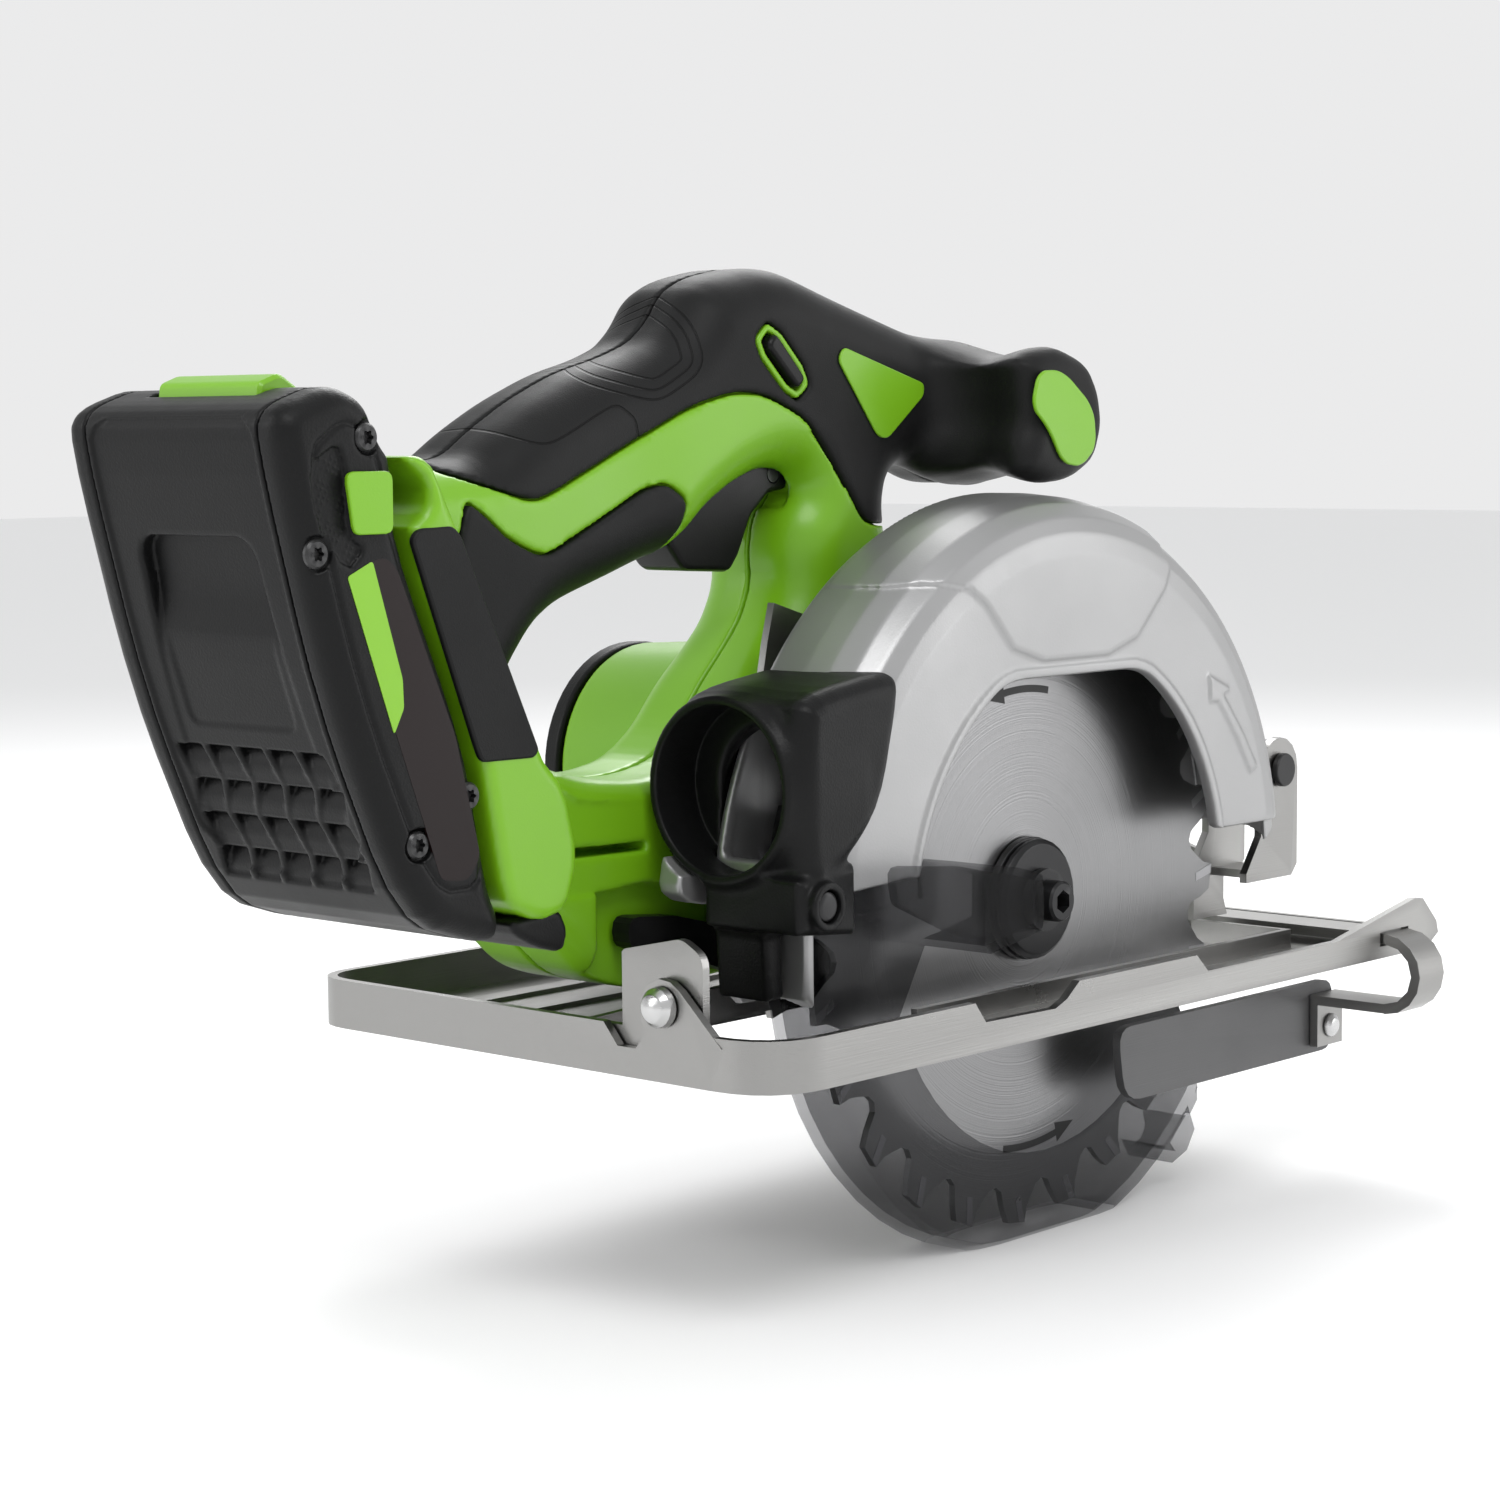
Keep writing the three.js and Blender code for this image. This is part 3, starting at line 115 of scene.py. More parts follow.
def to_mesh(name, D, g, marks=None):
    D = np.ascontiguousarray(np.clip(np.broadcast_to(D, g.shape), -3 * g.h, 3 * g.h), np.float32)
    v = vdb.FloatGrid(background=3 * g.h)
    v.copyFromArray(D)
    v.transform = vdb.createLinearTransform(voxelSize=g.h)
    pts, tris, quads = v.convertToPolygons(isovalue=0.0, adaptivity=0.0)
    pts = (np.asarray(pts, float) + g.lo + OFF) / 1000
    me = bpy.data.meshes.new(name)
    me.from_pydata(pts.tolist(), [], np.asarray(quads, int).tolist() + np.asarray(tris, int).tolist())
    me.validate()
    bm = bmesh.new()
    bm.from_mesh(me)
    if bm.calc_volume(signed=True) < 0:
        bmesh.ops.reverse_faces(bm, faces=bm.faces)
    # crumbs that a cut leaves behind
    left = set(bm.verts)
    while left:
        seed = left.pop()
        isle, todo = {seed}, [seed]
        while todo:
            w = todo.pop()
            for e in w.link_edges:
                o = e.other_vert(w)
                if o not in isle:
                    isle.add(o)
                    todo.append(o)
        left -= isle
        if len(isle) < 400:
            bmesh.ops.delete(bm, geom=list(isle), context="VERTS")
            left = {v for v in left if v.is_valid}
    bm.to_mesh(me)
    bm.free()
    me.shade_smooth()
    if marks:
        co = np.empty(len(me.vertices) * 3, np.float32)
        me.vertices.foreach_get("co", co)
        co = co.reshape(-1, 3) * 1000 - OFF
        for key, fn in marks.items():
            at = me.attributes.new(key, "FLOAT", "POINT")
            at.data.foreach_set("value", np.ascontiguousarray(fn(co), np.float32))
    o = bpy.data.objects.new(name, me)
    bpy.context.scene.collection.objects.link(o)
    return o


def from_faces(name, verts, faces, smooth=False):
    me = bpy.data.meshes.new(name)
    me.from_pydata([tuple((np.array(v) + OFF) / 1000) for v in verts], [], faces)
    bm = bmesh.new()
    bm.from_mesh(me)
    bmesh.ops.recalc_face_normals(bm, faces=bm.faces)
    bm.to_mesh(me)
    bm.free()
    if smooth:
        me.shade_smooth()
    o = bpy.data.objects.new(name, me)
    bpy.context.scene.collection.objects.link(o)
    return o


def plate(name, P, y0, y1):
    """outline in X,Z between two Y planes"""
    n = len(P)
    v = [(p[0], y0, p[1]) for p in P] + [(p[0], y1, p[1]) for p in P]
    f = [list(range(n)), list(range(n, 2 * n))[::-1]] + [[i, i + n, (i + 1) % n + n, (i + 1) % n] for i in range(n)]
    return from_faces(name, v, f)


def soften(o, width, seg=2, angle=28, planar=True):
    if planar:
        w = o.modifiers.new("weld", "WELD")
        w.merge_threshold = 2e-5
        d = o.modifiers.new("flat", "DECIMATE")
        d.decimate_type = "DISSOLVE"
        d.angle_limit = math.radians(1.0)
    b = o.modifiers.new("edge", "BEVEL")
    b.width = width / 1000
    b.segments = seg
    b.limit_method = "ANGLE"
    b.angle_limit = math.radians(angle)
    b.harden_normals = False
    b.use_clamp_overlap = True
    o.data.shade_smooth()
    o.data.set_sharp_from_angle(angle=math.radians(40))
    n = o.modifiers.new("normals", "WEIGHTED_NORMAL")
    n.keep_sharp = True


# ------------------------------------------------------------------ materials
def score_lines(m, key, levels, width, x_hi=None):
    """shallow lines where a stored distance crosses the given levels, their colour darkened with painted shade of the
    groove
    """
    N, L = m.node_tree.nodes, m.node_tree.links
    p = N["Principled BSDF"]
    at = N.new("ShaderNodeAttribute")
    at.attribute_name = key
    total = None
    for lv in levels:
        sub = N.new("ShaderNodeMath")
        sub.operation = "SUBTRACT"
        sub.inputs[1].default_value = 20 + lv
        L.new(at.outputs["Fac"], sub.inputs[0])
        ab = N.new("ShaderNodeMath")
        ab.operation = "ABSOLUTE"
        L.new(sub.outputs[0], ab.inputs[0])
        mr = N.new("ShaderNodeMapRange")
        mr.inputs["From Min"].default_value = width * 0.55
        mr.inputs["From Max"].default_value = width * 1.3
        mr.inputs["To Min"].default_value = 1.0
        mr.inputs["To Max"].default_value = 0.0
        L.new(ab.outputs[0], mr.inputs["Value"])
        if total is None:
            total = mr.outputs["Result"]
        else:
            mx = N.new("ShaderNodeMath")
            mx.operation = "MAXIMUM"
            L.new(total, mx.inputs[0])
            L.new(mr.outputs["Result"], mx.inputs[1])
            total = mx.outputs[0]
    # painted shade darkens the colour in the line, and the normal dips there as a real shallow groove
    old = p.inputs["Base Color"].links[0].from_socket
    mix = N.new("ShaderNodeMix")
    mix.data_type = "RGBA"
    # near-black line colour: painted shade in the groove
    mix.inputs["B"].default_value = (0.0012, 0.0012, 0.0012, 1)
    L.new(total, mix.inputs["Factor"])
    L.new(old, mix.inputs["A"])
    L.new(mix.outputs["Result"], p.inputs["Base Color"])
    b = N.new("ShaderNodeBump")
    b.inputs["Strength"].default_value = 0.9
    b.inputs["Distance"].default_value = 0.0006
    b.invert = True
    L.new(total, b.inputs["Height"])
    if p.inputs["Normal"].links:
        L.new(p.inputs["Normal"].links[0].from_socket, b.inputs["Normal"])
    L.new(b.outputs["Normal"], p.inputs["Normal"])


def material(name, color, rough, metal=0.0, grain=0.0, size=0.6, rvar=0.1, cvar=0.06, wear=0.0, wearcol=None, brush=None, coat=0.0, spec=0.5, alpha=None, transmission=0.0, ior=1.46, dirt=0.0):
    m = bpy.data.materials.new(name)
    m.use_nodes = True
    N, L = m.node_tree.nodes, m.node_tree.links
    p = N["Principled BSDF"]
    p.inputs["Metallic"].default_value = metal
    p.inputs["IOR"].default_value = ior
    p.inputs["Specular IOR Level"].default_value = spec
    p.inputs["Coat Weight"].default_value = coat
    p.inputs["Coat Roughness"].default_value = 0.15
    p.inputs["Transmission Weight"].default_value = transmission
    tc = N.new("ShaderNodeTexCoord")
    src = tc.outputs["Object"]
    if brush:
        mp = N.new("ShaderNodeMapping")
        mp.inputs["Scale"].default_value = brush
        L.new(src, mp.inputs["Vector"])
        fine_src = mp.outputs["Vector"]
    else:
        fine_src = src
    fine = N.new("ShaderNodeTexNoise")
    fine.inputs["Scale"].default_value = 1000 / size if not brush else 1.0
    fine.inputs["Detail"].default_value = 3
    L.new(fine_src, fine.inputs["Vector"])
    broad = N.new("ShaderNodeTexNoise")
    broad.inputs["Scale"].default_value = 22
    broad.inputs["Detail"].default_value = 6
    broad.inputs["Roughness"].default_value = 0.62
    L.new(src, broad.inputs["Vector"])
    # colour
    mix = N.new("ShaderNodeMix")
    mix.data_type = "RGBA"
    c = np.array(color)
    mix.inputs["A"].default_value = (*(c * (1 - cvar)), 1)
    mix.inputs["B"].default_value = (*np.minimum(c * (1 + cvar), 1), 1)
    L.new(broad.outputs["Fac"], mix.inputs["Factor"])
    col = mix.outputs["Result"]
    if wear:
        geo = N.new("ShaderNodeNewGeometry")
        ramp = N.new("ShaderNodeMapRange")
        ramp.inputs["From Min"].default_value = 0.53
        ramp.inputs["From Max"].default_value = 0.62
        L.new(geo.outputs["Pointiness"], ramp.inputs["Value"])
        mul = N.new("ShaderNodeMath")
        mul.operation = "MULTIPLY"
        mul.inputs[1].default_value = wear
        L.new(ramp.outputs["Result"], mul.inputs[0])
        m2 = N.new("ShaderNodeMix")
        m2.data_type = "RGBA"
        m2.inputs["B"].default_value = (*(wearcol or tuple(np.minimum(c * 1.8 + 0.03, 1))), 1)
        L.new(mul.outputs[0], m2.inputs["Factor"])
        L.new(col, m2.inputs["A"])
        col = m2.outputs["Result"]
    L.new(col, p.inputs["Base Color"])
    # roughness
    rr = N.new("ShaderNodeMapRange")
    rr.inputs["From Min"].default_value = 0.3
    rr.inputs["From Max"].default_value = 0.7
    rr.inputs["To Min"].default_value = max(rough - rvar, 0.02)
    rr.inputs["To Max"].default_value = min(rough + rvar, 1)
    L.new(broad.outputs["Fac"], rr.inputs["Value"])
    L.new(rr.outputs["Result"], p.inputs["Roughness"])
    if grain:
        b = N.new("ShaderNodeBump")
        b.inputs["Strength"].default_value = grain
        b.inputs["Distance"].default_value = 0.0002
        L.new(fine.outputs["Fac"], b.inputs["Height"])
        L.new(b.outputs["Normal"], p.inputs["Normal"])
    return m


GREEN = material("green_shell", (0.165, 0.405, 0.006), 0.38, grain=0.10, size=0.45, rvar=0.05, cvar=0.03, wear=0.15, coat=0.12)
GRIP = material("soft_grip", (0.0075, 0.0076, 0.0078), 0.5, grain=0.3, size=0.35, rvar=0.07, cvar=0.15, wear=0.15, spec=0.22)
# grooves in the grip cover, darkened with painted shade
score_lines(GRIP, "pad", (0.0,), 0.27)
score_lines(GRIP, "neck", (0.0, 3.0, 5.6), 0.27)
DARK = material("dark_plastic", (0.0055, 0.0056, 0.0058), 0.4, grain=0.35, size=0.55, rvar=0.07, cvar=0.12, wear=0.12, spec=0.2)
BLACKP = material("black_plastic", (0.0045, 0.0045, 0.0047), 0.33, grain=0.12, size=0.5, rvar=0.08, cvar=0.1, wear=0.12, spec=0.22)
CAST = material("cast_alloy", (0.37, 0.37, 0.372), 0.42, metal=0.75, grain=0.16, size=0.5, rvar=0.06, cvar=0.03, wear=0.3)
PRESS = material("pressed_steel", (0.29, 0.287, 0.28), 0.33, metal=1.0, grain=0.22, brush=(60, 2600, 2600), rvar=0.08, cvar=0.05, wear=0.25)
STEEL = material("machined_steel", (0.55, 0.55, 0.55), 0.26, metal=1.0, grain=0.12, size=0.4, rvar=0.08, wear=0.2)
OXIDE = material("black_oxide", (0.018, 0.018, 0.019), 0.33, metal=0.55, grain=0.12, size=0.4, rvar=0.08, wear=0.5, wearcol=(0.12, 0.12, 0.12))
CARBIDE = material("carbide", (0.34, 0.34, 0.35), 0.3, metal=0.9, grain=0.2, size=0.3, rvar=0.08)
COPPER = material("windings", (0.5, 0.2, 0.08), 0.35, metal=0.8, grain=0.3, brush=(900, 200, 900))
BOARD = material("circuit_board", (0.02, 0.12, 0.05), 0.5, grain=0.2, size=1.0)
CELL = material("cell_wrap", (0.05, 0.13, 0.32), 0.35, grain=0.05, size=1.0)
FENCE = material("fence_steel", (0.095, 0.095, 0.097), 0.42, metal=0.5, grain=0.25, brush=(60, 2400, 2400), wear=0.3, wearcol=(0.3, 0.3, 0.3))
LABEL_G = material("label_green", (0.2, 0.47, 0.01), 0.3, grain=0.02, size=0.8, rvar=0.04, cvar=0.02, coat=0.2)
LABEL_D = material("label_dark", (0.007, 0.0022, 0.0022), 0.36, grain=0.02, size=0.8, rvar=0.04, cvar=0.2, coat=0.06, spec=0.25)
PRINT = material("print_grey", (0.012, 0.012, 0.012), 0.5, grain=0.05, size=0.5)

# smoky clear plastic: mostly see-through with a grey tint and a gloss skin
SMOKE = bpy.data.materials.new("smoky_guard")
SMOKE.use_nodes = True
N, L = SMOKE.node_tree.nodes, SMOKE.node_tree.links
p = N["Principled BSDF"]
p.inputs["Base Color"].default_value = (0.012, 0.0122, 0.0127, 1)
p.inputs["Roughness"].default_value = 0.07
p.inputs["IOR"].default_value = 1.5
tr = N.new("ShaderNodeBsdfTransparent")
tr.inputs["Color"].default_value = (0.71, 0.71, 0.715, 1)
mx = N.new("ShaderNodeMixShader")
fr = N.new("ShaderNodeTexNoise")
fr.inputs["Scale"].default_value = 60
fr.inputs["Detail"].default_value = 5
tcs = N.new("ShaderNodeTexCoord")
L.new(tcs.outputs["Object"], fr.inputs["Vector"])
mr = N.new("ShaderNodeMapRange")
mr.inputs["To Min"].default_value = 0.10
mr.inputs["To Max"].default_value = 0.17
L.new(fr.outputs["Fac"], mr.inputs["Value"])
L.new(mr.outputs["Result"], mx.inputs["Fac"])
rs = N.new("ShaderNodeMapRange")
rs.inputs["To Min"].default_value = 0.04
rs.inputs["To Max"].default_value = 0.14
L.new(fr.outputs["Fac"], rs.inputs["Value"])
L.new(rs.outputs["Result"], p.inputs["Roughness"])
sb = N.new("ShaderNodeBump")
sb.inputs["Strength"].default_value = 0.08
sb.inputs["Distance"].default_value = 0.0003
L.new(fr.outputs["Fac"], sb.inputs["Height"])
L.new(sb.outputs["Normal"], p.inputs["Normal"])
L.new(tr.outputs[0], mx.inputs[1])
L.new(p.outputs[0], mx.inputs[2])
L.new(mx.outputs[0], N["Material Output"].inputs["Surface"])

# blade: turned rings from grinding
BLADE = material("blade_steel", (0.24, 0.24, 0.243), 0.30, metal=1.0, rvar=0.05, cvar=0.03)
N, L = BLADE.node_tree.nodes, BLADE.node_tree.links
p = N["Principled BSDF"]
tc = N.new("ShaderNodeTexCoord")
mp = N.new("ShaderNodeMapping")
mp.inputs["Location"].default_value = (0, 0, -0.0255)
L.new(tc.outputs["Object"], mp.inputs["Vector"])
sx = N.new("ShaderNodeSeparateXYZ")
L.new(mp.outputs["Vector"], sx.inputs[0])
cx = N.new("ShaderNodeCombineXYZ")
L.new(sx.outputs["X"], cx.inputs["X"])
L.new(sx.outputs["Z"], cx.inputs["Y"])
ln = N.new("ShaderNodeVectorMath")
ln.operation = "LENGTH"
L.new(cx.outputs[0], ln.inputs[0])
ringv = N.new("ShaderNodeCombineXYZ")
L.new(ln.outputs["Value"], ringv.inputs["X"])
n1 = N.new("ShaderNodeTexNoise")
n1.inputs["Scale"].default_value = 2200
n1.inputs["Detail"].default_value = 4
L.new(ringv.outputs[0], n1.inputs["Vector"])
bp = N.new("ShaderNodeBump")
bp.inputs["Strength"].default_value = 0.45
bp.inputs["Distance"].default_value = 0.0002
L.new(n1.outputs["Fac"], bp.inputs["Height"])
L.new(bp.outputs["Normal"], p.inputs["Normal"])
rr = N.new("ShaderNodeMapRange")
rr.inputs["To Min"].default_value = 0.2
rr.inputs["To Max"].default_value = 0.42
L.new(n1.outputs["Fac"], rr.inputs["Value"])
L.new(rr.outputs["Result"], p.inputs["Roughness"])


def paint(o, m):
    o.data.materials.clear()
    o.data.materials.append(m)


# ------------------------------------------------------------------ outlines (X,Z)
BODY = [(-180, 110.2), (-166, 110.2), (-154, 111), (-144.7, 117.3), (-132.5, 124), (-118, 130), (-103.4, 133.6), (-93.3, 137.2), (-87, 142.2), (-82, 149), (-74.6, 152.6), (-60.8, 155.3), (-51, 154.9), (-30.8, 148.8), (3.4, 139.4), (16, 138), (28, 134), (35.5, 127), (38, 117), (35.5, 108), (28, 102.4), (20, 103), (10, 107), (0, 108.6), (-8, 107.4), (-13.4, 103.4), (-14.8, 97), (-12, 84), (-6, 68), (-1.5, 50), (0, 31), (-2.5, 16), (-10, 4), (-22, -4), (-40, -8.5), (-60, -11.5), (-97.7, -13.2), (-112, -11.4), (-124.2, -7.4), (-134.5, 2), (-146, 8), (-158, 11.0), (-166, 15), (-169, 24), (-172, 50), (-180, 82)]
LOOP = [(-92, 88.6), (-99, 87), (-111, 83), (-128, 78), (-137, 73), (-147, 63), (-152, 54), (-149, 47.5), (-139, 43.5), (-126, 38.5), (-104, 36), (-88, 38.6), (-77, 46), (-69, 56), (-61, 63.8), (-54.5, 71), (-50.8, 79.4), (-51.4, 88), (-50, 95), (-45.5, 101.6), (-49, 106.6), (-58, 107.4), (-69, 103.6), (-79, 98), (-86, 92)]
TOP = [(-169.8, 109.7), (-157.5, 105.8), (-144.9, 101.9), (-139.3, 101.5), (-126, 106.6), (-106.4, 115.1), (-89.2, 122.4), (-75.7, 125.4), (-65.1, 124.9), (-50.7, 119.5), (-41.5, 110.5), (-34.1, 100.6), (-28.8, 93.4), (-14.9, 92.6), (20, 92.6), (60, 92), (60, 180), (-169.8, 180)]
LOW = [(-162.8, 102.9), (-156.6, 98.8), (-149.5, 93.4), (-138.5, 89.3), (-130.6, 92.2), (-117.7, 97.9), (-105.5, 103.7), (-98.5, 105), (-91.5, 100.9), (-91.4, 94.9), (-94.2, 89.4), (-94.2, 70), (-140, 64), (-158, 58), (-168, 80)]
BAR = [(-2.5, 133), (4, 136.4), (14, 137.2), (26, 133.4), (31, 126), (32.6, 117), (29, 107.6), (20, 103.2), (8, 102.4), (-2, 105.4), (-2.2, 112), (0.8, 119), (-0.6, 127)]
MOUNT = [(-195.2, 111.8), (-190.4, 112.3), (-186.3, 109.4), (-157.5, 47.6), (-150, 40), (-146, 24), (-150, 13), (-158, 11.2), (-167.5, 15.5), (-169.9, 22), (-175.4, 51), (-194.8, 96.4), (-188.7, 101.2), (-188.6, 106.5)]
GUARDW = [(x + 0.13, z + 0.17) for x, z in [(-113, 9.5), (-110, 23.5), (-93, 55), (-76, 57), (-50, 60), (-8, 62), (6, 50), (6, 20), (24, 6), (24, -19), (-16, -19.4), (-69, -19.4), (-72, -10), (-84, 6.5)]]
PACK = [(-229.2, 117), (-226.5, 122.5), (-213, 127), (-204.4, 123.6), (-200.6, 115.4), (-197.2, 111.6), (-197.4, 96.2), (-178, 51), (-172.4, 21), (-168.6, 13.2), (-170.6, 7.2), (-194, 15), (-214.6, 62)]


# ------------------------------------------------------------------ lines scored in the soft cover (mm)
EYE = np.array([-659.1, -500.4, 117.4])
AX_R, AX_U = np.array([0.66690437, -0.74509215, -0.00873253]), np.array([0.07768402, 0.05786713, 0.99529724])
AX_F = np.array([0.74108283, 0.66444645, -0.0964736])


def flat(co):
    """points on the cover laid flat on a plane that faces the right rear; the left side mirrors the right"""
    q = co.copy()
    q[:, 1] = 45 - np.abs(q[:, 1] - 45)
    d = q - EYE
    z = d @ AX_F
    return 900 * (d @ AX_R) / z, 900 * (d @ AX_U) / z


def scored(P):
    P = np.array(P, float)

    def fn(co):
        a, b = flat(co)
        v = poly2(chaikin(P, 3), a.astype(np.float32), b.astype(np.float32))
        return np.clip(v, -8, 8) + 20
    return fn


# outline of the palm pad, and of the web pad whose line repeats three times
PAD = [(-91.5, 87.3), (-75.9, 86.8), (-69.4, 86.0), (-57.0, 82.5), (-52.4, 83.2), (-37.5, 93.1), (-34.7, 92.8), (-29.4, 87.9), (-29.4, 17.8), (-91.5, 17.8)]
NECK = [(-51.1, 111.6), (-44.6, 104.8), (-26.9, 100.0), (-24.8, 100.6), (-19.0, 104.9), (-18.4, 106.1), (-19.9, 110.9), (-22.5, 114.2), (-28.3, 118.1), (-44.6, 127.2), (-53.7, 122.0)]


# ------------------------------------------------------------------ body shells
def body_shells():
    g = Grid((-199, -8, -17), (43, 103, 159), 0.8 * Q)
    body = g.xz(chaikin(BODY, 2))
    loop = g.xz(chaikin(LOOP, 2))
    out = np.maximum(body, -loop)
    # the grip is round, the motor block squarer
    r = (6.5 + 6.5 / (1 + np.exp(-(g.Z - 62) / 7.0))).astype(np.float32)
    waist = 1.6 * np.exp(-(((g.X + 118) / 26) ** 2)) * (g.Z > 40)
    hw = 19.0 - waist
    d = both(out, np.abs(g.Y - 45) - hw, r)
    # cross handle
    bar = g.xz(chaikin(BAR, 2)) + 2.2 * np.exp(-(((g.Y - 13) / 8.0) ** 2))
    d = smin(d, both(bar, g.slab(-4, 36), 7.0), 9.0)
    # motor barrel
    rm = g.rad(-33, 31)
    barrel = both(rm - (33.0 - 2.2 * np.clip((g.Y - 60) / 38.5, 0, 1)), g.slab(34, 98.5), 2.0)
    d = smin(d, barrel, 7.0)
    m2 = g.xz(chaikin(MOUNT, 1))
    mount = both(m2, g.slab(9, 81), 2.6)
    dm = smin(d, mount, 5.0)
    # cut-outs
    gear = np.minimum(g.rad(0, 0) - 21.2, np.minimum(g.rad(-33, 35) - 14.5, g.rad(-20, 18) - 21))
    cuts = [both(gear, g.Y - 36.2, 0.3), both(rm - 26.9, g.slab(36.2, 84.5), 0.3), np.maximum(rm - 4.2, g.slab(0, 97)), np.maximum(rm - 20, g.slab(93.6, 120))]
    cuts.append(both(g.xz([(-93.5, 90.5), (-93, 104), (-84, 112.5), (-62, 119.5), (-44.5, 114.5), (-43.4, 108.8), (-43.4, 102), (-46.5, 98), (-60, 94), (-80, 88)]), g.slab(36.7, 53.3), 0.5))
    cuts.append(g.xz(chaikin([(-67.2, 136.9), (-62.9, 140.8), (-50.2, 128.5), (-54.6, 125.1)], 1)))
    cuts.append(np.maximum(g.xz([(-202, 97), (-214, 122), (-195, 122), (-184.2, 97), (-158.8, 39.4), (-160.2, 22.4), (-178, 22.4), (-186, 54)]), g.slab(23.5, 66.5)))
    cuts.append(np.maximum(g.xz([(-124, -14), (-124, 12), (-108, 13), (-52, 6), (-48, -20), (-70, -22)]), g.slab(16, 31)))
    cuts.append(both(g.xz([(-133, 23.2), (-107, 22.6), (-107, 20.4), (-133, 20.9)]), g.slab(15, 38), 0.2))
    for k in range(4):
        cuts.append(both(g.xz([(-134, 26 - k * 5), (-104, 25.4 - k * 5), (-104, 23 - k * 5), (-134, 23.4 - k * 5)]), g.slab(52, 80), 0.2))
    # shallow step that runs along the motor block, and the sunk line round the mount
    step = both(g.xz(chaikin([(-139, 44.6), (-134.7, 36.8), (-128.4, 33.3), (-102.2, 32.4), (-88, 31), (-80, 10), (-108, 11.4), (-141.9, 12.6), (-152, 14.6)], 1)), np.abs(np.abs(g.Y - 45) - 19.6) - 1.35, 0.8)
    C = None
    for c in cuts:
        C = c if C is None else np.minimum(C, c)
    dm = smax(dm, -step, 0.6)
    dm = smax(dm, -C, 0.7)
    K = np.maximum(g.xz(chaikin(TOP, 2)), -(g.X + 165.6))
    Qz = g.xz(chaikin(LOW, 2))
    res = {}
    # cover stands a touch proud of the shell; a collar of the shell shows around the lock-off button
    black = smax(dm - 0.12, -smax(C, -50, 1), 0.5)
    ring = g.xz(chaikin([(-67.2, 136.9), (-62.9, 140.8), (-50.2, 128.5), (-54.6, 125.1)], 1)) - 1.7
    K = np.maximum(K, -ring)
    for side, s in (("right", -1), ("left", 1)):
        half = -s * (g.Y - 45) + 0.22
        a = smax(smax(black, K + 0.4, 0.7), half, 0.5)
        res["grip_" + side] = to_mesh("cover_" + side, a, g, {"pad": scored(PAD), "neck": scored(NECK)})
        b = smax(smax(dm - 0.25, Qz + 0.4, 0.7), half, 0.5)
        b = smax(b, -(m2 - 0.6), 0.4)
        res["lower_grip_" + side] = to_mesh("inner_cover_" + side, b, g)
        skin = -(dm + 2.4)
        keep = np.maximum(dm, -np.maximum(K - 0.15, skin))
        keep = np.maximum(keep, -np.maximum(np.maximum(Qz - 0.15, skin), -(m2 - 0.3)))
        keep = smax(keep, half, 0.5)
        res["housing_" + side] = to_mesh("shell_" + side, keep, g)
    return res


shells = body_shells()
for n, o in shells.items():
    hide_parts(n)
    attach(o, "saw_body")
    paint(o, GREEN if n.startswith("housing") else GRIP)


